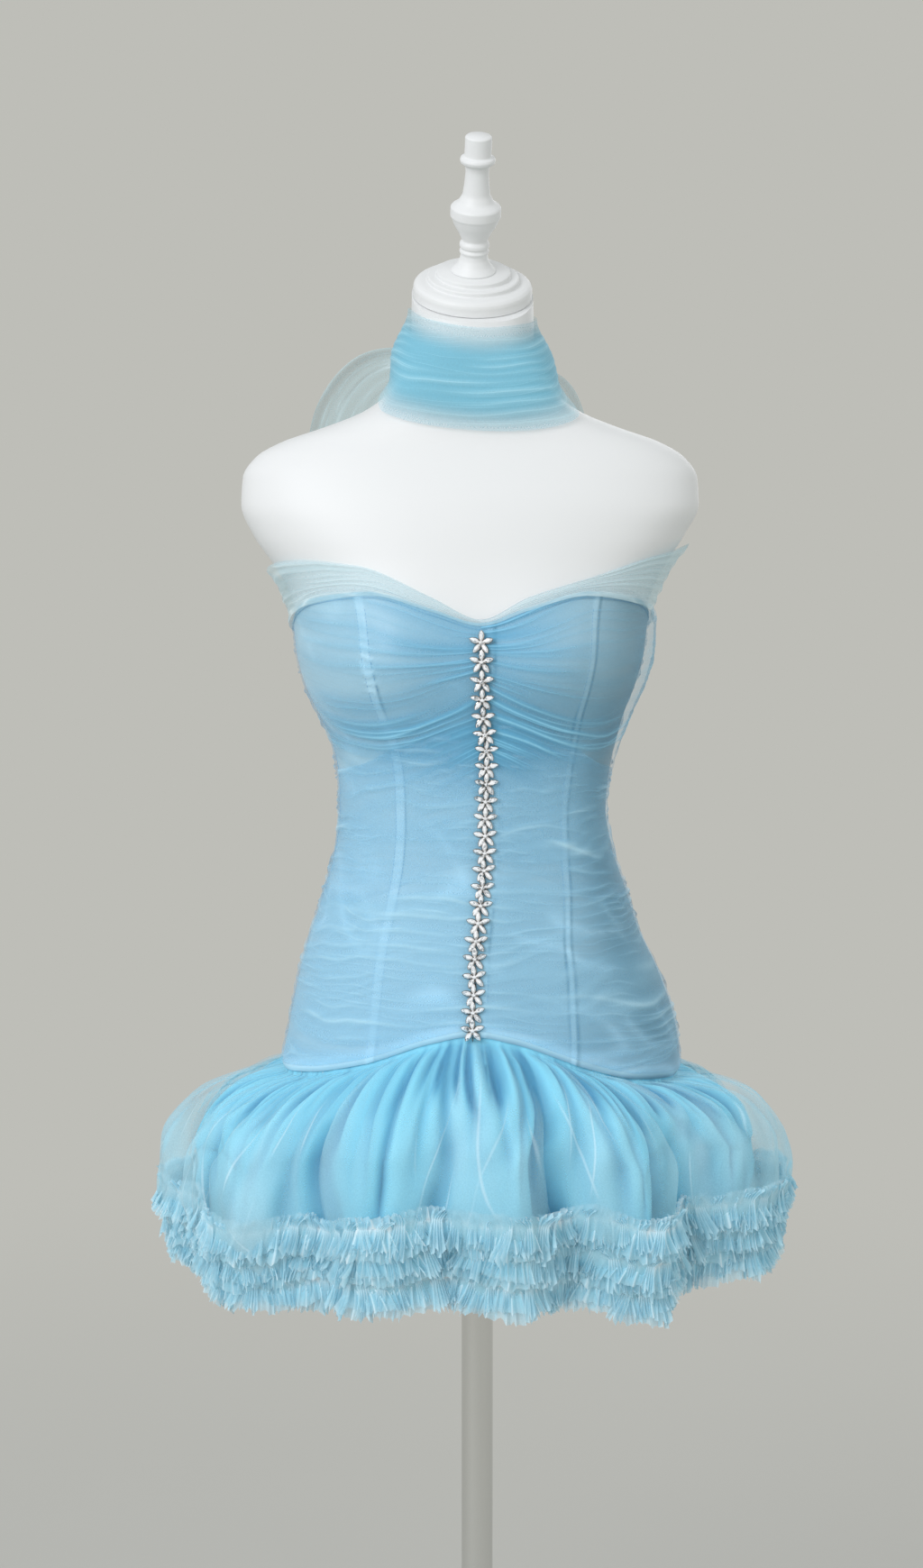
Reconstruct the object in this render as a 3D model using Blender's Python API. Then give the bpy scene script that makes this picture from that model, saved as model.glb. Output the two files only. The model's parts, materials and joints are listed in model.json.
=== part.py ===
"""Ruched tulle mini dress on a limbless dress form, in metres, +Z up.

The front faces -Y. Angles run round the figure in degrees: 0 is the centre front, 90 is
the wearer's left side (+X) and 180 is the centre back. The origin is the centre of the
stand's underside, on the floor. Tables are in millimetres and degrees.
"""

import math

import bmesh
import bpy
import numpy as np
from mathutils import Matrix, Vector

MM = 0.001
GAP = 0.3 * MM  # clear space between two pieces that meet

# Cloth walls, and where each layer starts, measured out from the form's skin.
SATIN_OUT, SATIN_WALL = 2.0 * MM, 1.2 * MM
TULLE_WALL = 1.0 * MM
OVERLAY_OUT = SATIN_OUT + SATIN_WALL + GAP
DRAPE_WALL = 1.4 * MM
BAND_OUT = 1.5 * MM
BAND_SIDE_STAND = 5 * MM  # how far the sheer band stands off at the arm caps
SIDE_LOOSE = 7 * MM  # the loose fold of the bust drape under the wearer's left arm
LOOSE_ANGLE, LOOSE_ANGLE_REACH = 84, 26  # degrees
LOOSE_LEVEL, LOOSE_LEVEL_REACH = 1.72, 0.7  # in edge levels: 1 under the bust, 2 the neckline
BAND_ARM_ANGLE, BAND_ARM_REACH = 92, 50  # degrees
BAND_STAND_FROM, BAND_STAND_RISE = 1.6, 0.8  # in edge levels

# Round counts: columns from centre front to centre back, and rows of a panel.
SEAM_COLUMNS = (0, 4, 9, 14, 18)
SEAM_ANGLES = (0, 40, 90, 143, 180)
HALF_COLUMNS = SEAM_COLUMNS[-1]
BODY_ROWS, BUST_ROWS, BAND_ROWS = 7, 4, 2
ZIP_HALF_WIDTH = 3.0 * MM

# Figure
CHEST_SQUARE = 0.22  # how much fuller than an ellipse the sections are
CUP_SIDE, CUP_HEIGHT = 66 * MM, 1260 * MM
CUP_WIDTH, CUP_RISE = 55 * MM, 50 * MM
CUP_DEPTH, FORM_CUP_DEPTH = 24 * MM, 20 * MM  # of the dress's cups, and of the form inside them
FORM_FOOT_EDGE = 6 * MM

# Neck, cap and finial lean on one axis
NECK_TOP = Vector((-0.0045, 0.0, 1.557))
CAP_TILT, CAP_LEAN = math.radians(28), math.radians(2)
NECK_BEND_START = 1.515
TURNED_SIDES = 20

# Stand
POLE_RADIUS = 13.5 * MM
POLE_SIDES = 24
BASE_RADIUS, BASE_EDGE, BASE_THICK = 180 * MM, 3 * MM, 12 * MM
BOSS_RADIUS, BOSS_TOP = 24 * MM, 50 * MM
BASE_SIDES = 40

# Flower trim
FLOWER_COUNT = 23
FLOWER_TOP, FLOWER_BOTTOM = 1.274, 0.9615
FLOWER_TIP, FLOWER_NOTCH = 8.0 * MM, 3.3 * MM
FLOWER_CLEAR = 0.5 * MM  # between a flower's flat back and the curved cloth behind it
FLOWER_RIM, FLOWER_CROWN = 1.4 * MM, 3.2 * MM
PETALS = 5

# Skirt
SKIRT_COLUMNS = 60
SKIRT_CLEAR = 1.0 * MM  # between the form and the skirt's gathered edge
TULLE_SKIRT_OUT = SATIN_WALL + GAP
SKIRT_DROP = TULLE_SKIRT_OUT + TULLE_WALL + 0.7 * MM  # the gathered edge tucks below the hip seam
SKIRT_SEAM_TURN = 0.06  # degrees, half a gap at the side seams
SKIRT_SIDE, SKIRT_FRONT, SKIRT_BACK = 244 * MM, 196 * MM, 214 * MM
SKIRT_CENTRE = -8 * MM  # the skirt hangs a little to the wearer's right
SIDE_PUFF = 18 * MM  # extra height of the puff over the wearer's left hip
PUFF_ANGLE, PUFF_REACH = 76, 46  # degrees
LINING_INSET = 10 * MM  # how far inside the tulle the opaque layer hangs at its hem
LINING_HEM = 0.86
TULLE_HEM = 0.985
RUFFLE_FALLS = ((0.60, 0.735), (0.74, 0.865), (0.87, 1.0))
RUFFLE_STAND = 10.5 * MM
RUFFLE_TAPER = 4 * MM

# Scarf
SCARF_COLUMNS, SCARF_ROWS = 28, 4
SCARF_OUT, SCARF_WALL = 1.6 * MM, 2.6 * MM
SCARF_BULGE = 13 * MM  # how far the loose winding stands off the neck at the sides
SCARF_FRONT_CLOSE, SCARF_BACK_CLOSE, SCARF_CLOSE_REACH = 0.65, 0.5, 60
SCARF_FULLEST, SCARF_FULL_REACH = 0.42, 0.58  # parts of the winding's height
KNOT_HALF = Vector((0.015, 0.0125, 0.013))
KNOT_SIDES, KNOT_BANDS, KNOT_FLAT = 12, 6, 0.96
SCARF_END_WALL = 1.2 * MM


class Table:
    """Rows of sizes with named columns, read along smooth curves between the rows."""

    def __init__(self, names, rows, key_scale, value_scale):
        values = np.array(rows, float)
        self.keys = values[:, 0] * key_scale
        self.columns = {}
        for index, name in enumerate(names[1:], start=1):
            heights = values[:, index] * value_scale
            self.columns[name] = (heights, self.slopes(heights))

    def slopes(self, heights):
        """Slopes that never overshoot a row."""
        steps = np.diff(self.keys)
        rises = np.diff(heights) / steps
        found = np.zeros(len(heights))
        found[0], found[-1] = rises[0], rises[-1]
        for i in range(1, len(heights) - 1):
            if rises[i - 1] * rises[i] > 0:
                before = 2 * steps[i] + steps[i - 1]
                after = steps[i] + 2 * steps[i - 1]
                found[i] = (before + after) / (before / rises[i - 1] + after / rises[i])
        return found

    def at(self, name, key):
        heights, slopes = self.columns[name]
        key = min(max(key, self.keys[0]), self.keys[-1])
        i = min(int(np.searchsorted(self.keys, key, side="right")) - 1, len(heights) - 2)
        step = self.keys[i + 1] - self.keys[i]
        t = (key - self.keys[i]) / step
        return float(
            heights[i] * (1 + 2 * t) * (1 - t) ** 2
            + slopes[i] * step * t * (1 - t) ** 2
            + heights[i + 1] * t * t * (3 - 2 * t)
            + slopes[i + 1] * step * t * t * (t - 1)
        )


# The general figure of the form, a row for each section from its foot to its neck.
FIGURE = Table(
    ("height", "half_width", "front", "back", "centre"),
    (
        (866, 152, 89, 99, 3),
        (886, 161, 94, 106, 3),
        (915, 165, 98, 111, 3),
        (945, 161, 98, 112, 4),
        (995, 147.5, 94, 106, 1),
        (1030, 134, 89, 97, -2),
        (1064, 123, 84, 88, -2),
        (1098, 113, 80, 80, -3),
        (1133, 108.5, 79, 75, -4),
        (1167, 111, 81, 76, -3),
        (1190, 116, 84, 79, -3),
        (1212, 124, 87, 83, -5),
        (1235, 134, 90, 86, -6),
        (1262, 141.5, 92, 88, -6),
        (1290, 145, 92, 90, -6),
        (1312, 150.5, 90, 92, -6),
        (1333, 161, 87, 93, -7),
        (1360, 179, 83, 94, -7.5),
        (1385, 190, 77, 93, -6.5),
        (1408, 188.5, 68, 90, -6.5),
        (1425, 177, 60.5, 85, -6.5),
        (1437, 156, 55.5, 81, -6),
        (1449, 121, 53.5, 77, -5.5),
        (1461, 91, 52.5, 72, -5),
        (1473, 73, 51.5, 64, -5),
        (1488, 58, 50.5, 56, -4.5),
        (1505, 51.5, 50, 52, -4.5),
        (1530, 50.5, 50, 50.5, -4.5),
        (1575, 50, 50, 50, -4.5),
    ),
    MM,
    MM,
)

# Heights of the bodice's edges round the figure.
EDGES = Table(
    ("angle", "hip", "underbust", "neckline", "band"),
    (
        (-180, 922, 1180, 1268, 1300),
        (-135, 915, 1172, 1272, 1312),
        (-90, 912, 1158, 1291, 1335),
        (-60, 919, 1165, 1309, 1341),
        (-35, 935, 1185, 1314, 1335),
        (-15, 950, 1201, 1300, 1310),
        (0, 956, 1206, 1289.5, 1292.5),
        (15, 950, 1201, 1301, 1310),
        (35, 935, 1185, 1314, 1326),
        (60, 915, 1165, 1309, 1345),
        (90, 909, 1158, 1292, 1357),
        (135, 914, 1172, 1272, 1318),
        (180, 922, 1180, 1268, 1300),
    ),
    1.0,
    MM,
)

# Where the long seams run at each height: the whole dress is twisted a little on the form.
SEAMS = Table(
    ("height", "twist", "princess", "side", "back"),
    (
        (900, -4, 31, 90, 149),
        (960, -3, 32, 90, 148),
        (1030, 0, 35, 90, 146),
        (1133, 5, 39, 90, 143),
        (1235, 4, 40, 90, 142),
        (1360, 2, 41, 90, 142),
    ),
    MM,
    1.0,
)

# Hem height and fold depth round the skirt: a crest or a valley of a big flute in each row.
FLUTES = Table(
    ("angle", "hem", "stand"),
    (
        (-180, 758, 10),
        (-166, 762, -13),
        (-152, 757, 11),
        (-137, 761, -10),
        (-121, 756, 12),
        (-103, 761, -8),
        (-84, 760, 13),
        (-68, 762, -3),
        (-52, 752, 12),
        (-31, 762, -15),
        (-17, 766, 11),
        (-4, 769, -13),
        (9, 768, 12),
        (20, 769, -15),
        (36, 752, 14),
        (49, 768, -16),
        (68, 770, 19),
        (88, 765, 23),
        (104, 764, -10),
        (122, 757, 12),
        (138, 761, -11),
        (152, 757, 10),
        (166, 762, -12),
        (180, 758, 10),
    ),
    1.0,
    MM,
)

# The skirt's side view: how far it has flared out at each part of its fall.
SKIRT_FALL = Table(
    ("fall", "flare"),
    ((0, 0), (0.03, 0.22), (0.10, 0.50), (0.22, 0.78), (0.40, 0.96), (0.62, 1.0), (1.0, 0.91)),
    1.0,
    1.0,
)
TULLE_STEPS = (0, 0.03, 0.10, 0.24, 0.45, 0.72)
LINING_STEPS = (0, 0.03, 0.10, 0.24, 0.52)

# Lower and upper edge of the wound scarf round the neck.
SCARF_EDGES = Table(
    ("angle", "low", "high"),
    (
        (-180, 1490, 1546),
        (-120, 1484, 1549),
        (-80, 1475, 1545),
        (-40, 1456, 1533),
        (10, 1441, 1526),
        (50, 1454, 1530),
        (85, 1474, 1537),
        (130, 1484, 1545),
        (180, 1490, 1546),
    ),
    1.0,
    MM,
)

# The two ends of the scarf: middle line and width, from the knot to the tip.
SCARF_ENDS = {
    "scarf_end_right": Table(
        ("step", "x", "y", "z", "half"),
        (
            (0, -21.2, 74, 1518, 9),
            (1, -50, 90, 1503, 21),
            (2, -88, 101, 1488, 31),
            (3, -112, 112, 1450, 34),
            (4, -118, 117, 1390, 35),
            (5, -120, 117, 1310, 36),
        ),
        1.0,
        MM,
    ),
    "scarf_end_left": Table(
        ("step", "x", "y", "z", "half"),
        (
            (0, 14.2, 74, 1518, 8),
            (1, 42, 90, 1494, 18),
            (2, 64, 102, 1472, 25),
            (3, 72, 113, 1432, 28),
            (4, 74, 118, 1378, 30),
            (5, 75, 118, 1312, 31),
        ),
        1.0,
        MM,
    ),
}
SCARF_END_ROWS, SCARF_END_COLUMNS = 9, 3

# Turned profiles: radius at each distance below the finial's top, along the leaning axis.
FINIAL_PROFILE = (
    (0, 9.5), (1.2, 10.8), (16.5, 10.8), (17.5, 13.6), (19.5, 14.4), (22, 13.6), (23.5, 10.2),
    (29, 9.4), (38, 10.0), (48, 11.2), (54, 14.5), (57.5, 19.5), (59, 20.6), (66, 20.6), (67.5, 19.6),
    (73, 17.4), (80, 13.2), (86, 10.4), (89, 12.2), (91.5, 12.2), (93, 10.8), (95.5, 12.4), (98, 11.0),
    (102, 11.6), (107, 14.0), (111.5, 18.2), (112.4, 18.4),
)
CAP_PROFILE = (
    (112.7, 29.4), (113.6, 30.5), (116.8, 30.5), (117.1, 36.8), (118.0, 37.8), (121.2, 37.8),
    (121.5, 43.0), (122.6, 46.2), (124.6, 48.3), (127.0, 49.0), (133.7, 49.0),
)
FINIAL_LENGTH = 134 * MM

COLOURS = {
    "form_white": ((0.86, 0.87, 0.86), 0.45, 0.0),
    "chrome": ((0.62, 0.60, 0.57), 0.12, 1.0),
    "base_grey": ((0.70, 0.70, 0.69), 0.4, 0.0),
    "satin": ((0.30, 0.56, 0.74), 0.45, 0.0),
    "tulle": ((0.29, 0.58, 0.74), 0.8, 0.0),
    "sheer": ((0.55, 0.76, 0.80), 0.8, 0.0),
    "ruffle": ((0.33, 0.60, 0.70), 0.85, 0.0),
    "crystal": ((0.86, 0.88, 0.88), 0.15, 0.4),
}


def clear_scene():
    for old in list(bpy.data.objects):
        bpy.data.objects.remove(old, do_unlink=True)


def material(name):
    found = bpy.data.materials.get(name)
    if found:
        return found
    colour, roughness, metallic = COLOURS[name]
    made = bpy.data.materials.new(name)
    made.use_nodes = True
    shader = made.node_tree.nodes["Principled BSDF"]
    shader.inputs["Base Color"].default_value = (*colour, 1.0)
    shader.inputs["Roughness"].default_value = roughness
    shader.inputs["Metallic"].default_value = metallic
    return made


def add_solid(name, points, faces, finish, smooth=True):
    """One closed body from points and faces, turned outwards."""
    mesh = bpy.data.meshes.new(name)
    mesh.from_pydata([tuple(p) for p in points], [], faces)
    body = bmesh.new()
    body.from_mesh(mesh)
    bmesh.ops.recalc_face_normals(body, faces=body.faces)
    body.to_mesh(mesh)
    body.free()
    mesh.materials.append(material(finish))
    if smooth:
        mesh.shade_smooth()
        mesh.set_sharp_from_angle(angle=math.radians(40))
    made = bpy.data.objects.new(name, mesh)
    bpy.context.scene.collection.objects.link(made)
    return made


def cloth_wall(name, outer, inner, finish, ring=False):
    """A closed wall between two sheets of points, each a list of rows of equal length."""
    rows, columns = len(outer), len(outer[0])
    points = [p for row in outer for p in row] + [p for row in inner for p in row]
    shift = rows * columns

    def quad(a, b, c, d):
        return [(a, b, c), (a, c, d)]

    faces = []
    last = columns if ring else columns - 1
    for c in range(last):
        right = (c + 1) % columns
        for r in range(rows - 1):
            here, over = r * columns, (r + 1) * columns
            ends = (here + c, here + right, over + right, over + c)
            faces += quad(*ends)
            faces += [f[::-1] for f in quad(*(shift + i for i in ends))]
        top = (rows - 1) * columns
        faces += quad(shift + c, shift + right, right, c)
        faces += quad(top + c, top + right, shift + top + right, shift + top + c)
    if not ring:
        end = columns - 1
        for r in range(rows - 1):
            here, over = r * columns, (r + 1) * columns
            faces += quad(shift + here, here, over, shift + over)
            faces += quad(here + end, shift + here + end, shift + over + end, over + end)
    return add_solid(name, points, faces, finish)


def turned(name, profile, place, sides, finish):
    """A turned solid: profile holds (distance along the axis, radius) pairs from one end to the other."""
    points, faces = [], []
    for along, radius in profile:
        for i in range(sides):
            turn = 2 * math.pi * i / sides
            points.append(place @ Vector((radius * math.cos(turn), radius * math.sin(turn), along)))
    for r in range(len(profile) - 1):
        for i in range(sides):
            j = (i + 1) % sides
            faces.append((r * sides + i, r * sides + j, (r + 1) * sides + j, (r + 1) * sides + i))
    faces.append(tuple(range(sides)))
    faces.append(tuple(range(len(points) - sides, len(points))))
    return add_solid(name, points, faces, finish)


def figure_point(angle, height, cup_depth=CUP_DEPTH):
    """A point on the figure that the dress is cut to."""
    turn = math.radians(angle)
    side, ahead = math.sin(turn), math.cos(turn)
    centre = FIGURE.at("centre", height)
    x = FIGURE.at("half_width", height) * side
    depth = FIGURE.at("front" if ahead > 0 else "back", height)
    y = -depth * ahead * (1 + CHEST_SQUARE * side * side)
    if ahead > 0:
        rise = math.exp(-(((height - CUP_HEIGHT) / CUP_RISE) ** 2))
        wide = sum(math.exp(-(((x - cup) / CUP_WIDTH) ** 2)) for cup in (-CUP_SIDE, CUP_SIDE))
        y -= cup_depth * rise * wide * ahead * (2 - ahead)
    return Vector((centre + x, y, height))


def skin_frame(angle, height):
    """The skin's point there, its outward direction, and its metres for a degree of angle."""
    here = figure_point(angle, height)
    across = figure_point(angle + 1, height) - figure_point(angle - 1, height)
    up = figure_point(angle, height + MM) - figure_point(angle, height - MM)
    return here, across.cross(up).normalized(), across.length / 2


def off_skin(angle, height, out):
    here, outward, _ = skin_frame(angle, height)
    return here + outward * out


def seam_angle(column, height):
    """The angle of a column of the bodice: whole seams sit at SEAM_COLUMNS."""
    whole, rest = 0.0, column
    if column > HALF_COLUMNS:
        whole, rest = 360.0, column - 2 * HALF_COLUMNS
    seams = (0, *(SEAMS.at(name, height) for name in ("princess", "side", "back")), 180)
    angle = float(np.interp(abs(rest), SEAM_COLUMNS, seams))
    return whole + math.copysign(angle, rest) + SEAMS.at("twist", height)


def nominal_angle(column):
    """Where a column would be with its seams evenly set: the edges' tables read this angle."""
    rest = column - 2 * HALF_COLUMNS if column > HALF_COLUMNS else column
    return math.copysign(float(np.interp(abs(rest), SEAM_COLUMNS, SEAM_ANGLES)), rest)


def hip_edge(angle, out):
    """A point of the bodice's straight-sided lower edge, at a nominal angle."""
    column = math.copysign(float(np.interp(abs(angle), SEAM_ANGLES, SEAM_COLUMNS)), angle)
    first = math.floor(column)
    ends = []
    for whole in (first, first + 1):
        height = bodice_height(whole, 0)
        ends.append(off_skin(seam_angle(whole, height), height, out))
    return ends[0].lerp(ends[1], column - first)


LEVELS = ("hip", "underbust", "neckline", "band")


def bodice_height(column, level):
    """level 0 is the hip seam, 1 the line under the bust, 2 the neckline, 3 the band's top."""
    low = min(int(level), len(LEVELS) - 2)
    angle = nominal_angle(column)
    ends = [EDGES.at(LEVELS[i], angle) for i in (low, low + 1)]
    return float(np.interp(level, (low, low + 1), ends))


def level_steps(low, high):
    """The row levels of a piece that runs from one edge to another."""
    counts = (BODY_ROWS, BUST_ROWS, BAND_ROWS)
    steps = [float(low)]
    for band in range(low, high):
        steps += [band + (i + 1) / counts[band] for i in range(counts[band])]
    return steps


def bodice_piece(name, first, last, low, high, start, wall, finish, stand=None, trim=(GAP / 2, GAP / 2)):
    """A piece between two columns and two levels, start metres off the skin.

    trim is the half gap, or more, that its two side seams keep. stand(angle, level) adds to start.
    """
    outer, inner = [], []
    levels = level_steps(low, high)
    for level in levels:
        rows = ([], [])
        for column in range(first, last + 1):
            height = bodice_height(column, level)
            height += (GAP / 2) * ((level == levels[0]) - (level == levels[-1]))
            angle = seam_angle(column, height)
            _, _, degree = skin_frame(angle, height)
            angle += (trim[0] * (column == first) - trim[1] * (column == last)) / degree
            out = start + (stand(nominal_angle(column), level) if stand else 0)
            rows[0].append(off_skin(angle, height, out + wall))
            rows[1].append(off_skin(angle, height, out))
        outer.append(rows[0])
        inner.append(rows[1])
    return cloth_wall(name, outer, inner, finish)


def bell(value, middle, half_width):
    """1 at the middle, falling smoothly to 0 half a width away."""
    away = min(abs(value - middle) / half_width, 1.0)
    return (1 + math.cos(math.pi * away)) / 2


def make_form():
    points, faces = [], []
    n = 2 * HALF_COLUMNS
    heights = [float(h) for h in FIGURE.keys if h < NECK_BEND_START]
    rings = [[figure_point(seam_angle(i, h), h, FORM_CUP_DEPTH) for i in range(n)] for h in heights]
    foot = [Vector((p.x * 0.965, p.y * 0.965, heights[0] - FORM_FOOT_EDGE)) for p in rings[0]]
    neck = []
    for i in range(n):
        p = figure_point(seam_angle(i, NECK_BEND_START), FIGURE.keys[-1])
        slope = (p.y - NECK_TOP.y) * math.tan(CAP_TILT) - (p.x - NECK_TOP.x) * math.tan(CAP_LEAN)
        neck.append(Vector((p.x, p.y, NECK_TOP.z + slope - GAP)))
    rings = [foot, *rings, neck]
    for ring in rings:
        points += ring
    for r in range(len(rings) - 1):
        for i in range(n):
            j = (i + 1) % n
            a, b, c, d = r * n + i, r * n + j, (r + 1) * n + j, (r + 1) * n + i
            faces += [(a, b, c), (a, c, d)]
    faces.append(tuple(range(n)))
    faces.append(tuple(range(len(points) - n, len(points))))
    add_solid("form_torso", points, faces, "form_white")


def leaning_axis():
    """From the finial's top, looking down the axis of the finial, the cap and the neck's top."""
    up = Vector((math.sin(CAP_LEAN), -math.sin(CAP_TILT), math.cos(CAP_TILT))).normalized()
    turn = Vector((0, 0, 1)).rotation_difference(-up).to_matrix().to_4x4()
    return Matrix.Translation(NECK_TOP + up * FINIAL_LENGTH) @ turn


def make_cap_and_finial():
    place = leaning_axis()
    for name, profile in (("form_finial", FINIAL_PROFILE), ("form_neck_cap", CAP_PROFILE)):
        scaled = [(along * MM, radius * MM) for along, radius in profile]
        turned(name, scaled, place, TURNED_SIDES, "form_white")


def make_stand():
    upright = Matrix.Identity(4)
    base = (
        (0, BASE_RADIUS - BASE_EDGE),
        (BASE_EDGE, BASE_RADIUS),
        (BASE_THICK - BASE_EDGE, BASE_RADIUS),
        (BASE_THICK, BASE_RADIUS - BASE_EDGE),
        (BASE_THICK, BOSS_RADIUS),
        (BOSS_TOP - BASE_EDGE, BOSS_RADIUS),
        (BOSS_TOP, BOSS_RADIUS - BASE_EDGE),
    )
    turned("stand_base", base, upright, BASE_SIDES, "base_grey")
    top = float(FIGURE.keys[0]) - FORM_FOOT_EDGE - GAP
    turned("stand_pole", ((BOSS_TOP + GAP, POLE_RADIUS), (top, POLE_RADIUS)), upright, POLE_SIDES, "chrome")


def make_corset():
    columns = dict(zip(("front", "princess", "side", "back", "rear"), SEAM_COLUMNS))
    panels = (
        ("corset_front", "front", "princess"),
        ("corset_side_front", "princess", "side"),
        ("corset_side_back", "side", "back"),
        ("corset_back", "back", "rear"),
    )
    for name, start, end in panels:
        first, last = columns[start], columns[end]
        rear = ZIP_HALF_WIDTH + GAP if end == "rear" else GAP / 2
        sides = (
            ("left", first, last, (GAP / 2, rear)),
            ("right", -last, -first, (rear, GAP / 2)),
        )
        for side, low, high, trim in sides:
            bodice_piece(f"{name}_{side}", low, high, 0, 2, SATIN_OUT, SATIN_WALL, "satin", trim=trim)


def make_zip():
    """The closed zip between the two back panels, from the neckline to the hip seam."""
    outer, inner = [], []
    levels = level_steps(0, 2)
    for level in levels:
        height = bodice_height(HALF_COLUMNS, level)
        height += (GAP / 2) * ((level == levels[0]) - (level == levels[-1]))
        middle = seam_angle(HALF_COLUMNS, height)
        _, _, degree = skin_frame(middle, height)
        sides = [middle + side * ZIP_HALF_WIDTH / degree for side in (-1, 1)]
        outer.append([off_skin(a, height, SATIN_OUT + SATIN_WALL) for a in sides])
        inner.append([off_skin(a, height, SATIN_OUT) for a in sides])
    cloth_wall("back_zip", outer, inner, "satin")


def make_overlay():
    side, rear = SEAM_COLUMNS[2], SEAM_COLUMNS[4]
    pieces = (
        ("overlay_front_left", 0, side, 1),
        ("overlay_front_right", -side, 0, 1),
        ("overlay_back_left", side, rear, 2),
        ("overlay_back_right", rear, 2 * rear - side, 2),
    )
    for name, first, last, high in pieces:
        bodice_piece(name, first, last, 0, high, OVERLAY_OUT, TULLE_WALL, "tulle")


def drape_stand(angle, level):
    """The drape hangs loose under the wearer's left arm."""
    round_side = bell(angle, LOOSE_ANGLE, LOOSE_ANGLE_REACH)
    return SIDE_LOOSE * round_side * bell(level, LOOSE_LEVEL, LOOSE_LEVEL_REACH)


def make_bust_drapes():
    side = SEAM_COLUMNS[2]
    bodice_piece("bust_drape_left", 0, side, 1, 2, OVERLAY_OUT, DRAPE_WALL, "tulle", drape_stand)
    bodice_piece("bust_drape_right", -side, 0, 1, 2, OVERLAY_OUT, DRAPE_WALL, "tulle", drape_stand)


def band_stand(angle, level):
    """The band stands off the form at the arm caps."""
    round_side = bell(abs(angle), BAND_ARM_ANGLE, BAND_ARM_REACH)
    return BAND_SIDE_STAND * round_side * min((level - BAND_STAND_FROM) / BAND_STAND_RISE, 1.0)


def make_band():
    side = SEAM_COLUMNS[2]
    rear = SEAM_COLUMNS[4]
    for name, first, last in (
        ("neck_band_left", 0, side),
        ("neck_band_right", -side, 0),
        ("neck_band_back", side, 2 * rear - side),
    ):
        bodice_piece(name, first, last, 2, 3, BAND_OUT, TULLE_WALL, "sheer", band_stand)


def make_flowers():
    """A chain of five-petalled crystal flowers down the centre front."""
    for index in range(FLOWER_COUNT):
        height = FLOWER_TOP + (FLOWER_BOTTOM - FLOWER_TOP) * index / (FLOWER_COUNT - 1)
        angle = seam_angle(0, height)
        here, outward, degree = skin_frame(angle, height)
        up = (figure_point(angle, height + MM) - figure_point(angle, height - MM)).normalized()
        across = up.cross(outward)
        points, faces = [], []
        corners = 2 * PETALS
        star = []
        for i in range(corners):
            radius = FLOWER_TIP if i % 2 == 0 else FLOWER_NOTCH
            turn = 2 * math.pi * i / corners
            star.append((up * math.cos(turn) + across * math.sin(turn)) * radius)
        on_drape = height > EDGES.at("underbust", 0) - FLOWER_TIP
        cloth = OVERLAY_OUT + (DRAPE_WALL if on_drape else TULLE_WALL)
        rises = []
        for spoke in star:
            behind = figure_point(angle + spoke.dot(across) / degree, height + spoke.z)
            rises.append((behind - here).dot(outward))
        back_out = cloth + max(0.0, *rises) + FLOWER_CLEAR
        for out in (back_out, back_out + FLOWER_RIM):
            points += [here + outward * out + spoke for spoke in star]
        points.append(here + outward * (back_out + FLOWER_CROWN))
        for i in range(corners):
            j = (i + 1) % corners
            faces.append((i, j, corners + j, corners + i))
            faces.append((corners + i, corners + j, 2 * corners))
        faces.append(tuple(range(corners)))
        add_solid(f"flower_{index + 1:02d}", points, faces, "crystal", smooth=False)


def skirt_surface(angle, fall):
    """A point of the skirt's own surface: fall 0 is the gathered edge and 1 the hem."""
    start = hip_edge(angle, SKIRT_CLEAR)
    start.z -= SKIRT_DROP
    turn = math.radians(angle)
    depth = SKIRT_FRONT if math.cos(turn) > 0 else SKIRT_BACK
    outward = Vector((math.sin(turn) / SKIRT_SIDE, -math.cos(turn) / depth, 0)).normalized()
    hem = Vector((
        SKIRT_CENTRE + SKIRT_SIDE * math.sin(turn),
        -depth * math.cos(turn),
        FLUTES.at("hem", angle),
    ))
    flare = SKIRT_FALL.at("flare", fall)
    point = start.lerp(hem, flare) + outward * FLUTES.at("stand", angle) * flare**2
    point.z = start.z + (hem.z - start.z) * fall
    point.z += SIDE_PUFF * bell(angle, PUFF_ANGLE, PUFF_REACH) * flare * (1 - fall) ** 1.5
    return point


def skirt_point(angle, fall, out, inset=0.0):
    """out metres off that surface, less inset as the skirt flares."""
    step = 0.01
    around = skirt_surface(angle + 1, fall) - skirt_surface(angle - 1, fall)
    down = skirt_surface(angle, min(fall + step, 1.0)) - skirt_surface(angle, max(fall - step, 0.0))
    outward = down.cross(around).normalized()
    return skirt_surface(angle, fall) + outward * (out - inset * SKIRT_FALL.at("flare", fall))


def half_skirt_angles(start):
    """Angles from one side seam to the other, each end half a gap short of the seam."""
    per_half = SKIRT_COLUMNS // 2
    angles = [start + 180.0 * i / per_half for i in range(per_half + 1)]
    angles[0] += SKIRT_SEAM_TURN
    angles[-1] -= SKIRT_SEAM_TURN
    return [a if a <= 180 else a - 360 for a in angles]


HALVES = (("front", -90.0), ("back", 90.0))


def skirt_layer(name, steps, hem, out, wall, inset, finish):
    """Front and back widths of one skirt layer, split at the side seams."""
    falls = sorted({*steps, hem}, reverse=True)
    for half, start in HALVES:
        angles = half_skirt_angles(start)
        outer = [[skirt_point(a, f, out + wall, inset) for a in angles] for f in falls]
        inner = [[skirt_point(a, f, out, inset) for a in angles] for f in falls]
        cloth_wall(f"{name}_{half}", outer, inner, finish)


def make_skirt():
    skirt_layer("underskirt", LINING_STEPS, LINING_HEM, 0.0, SATIN_WALL, LINING_INSET, "satin")
    skirt_layer("tulle_skirt", TULLE_STEPS, TULLE_HEM, TULLE_SKIRT_OUT, TULLE_WALL, 0.0, "tulle")


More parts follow.
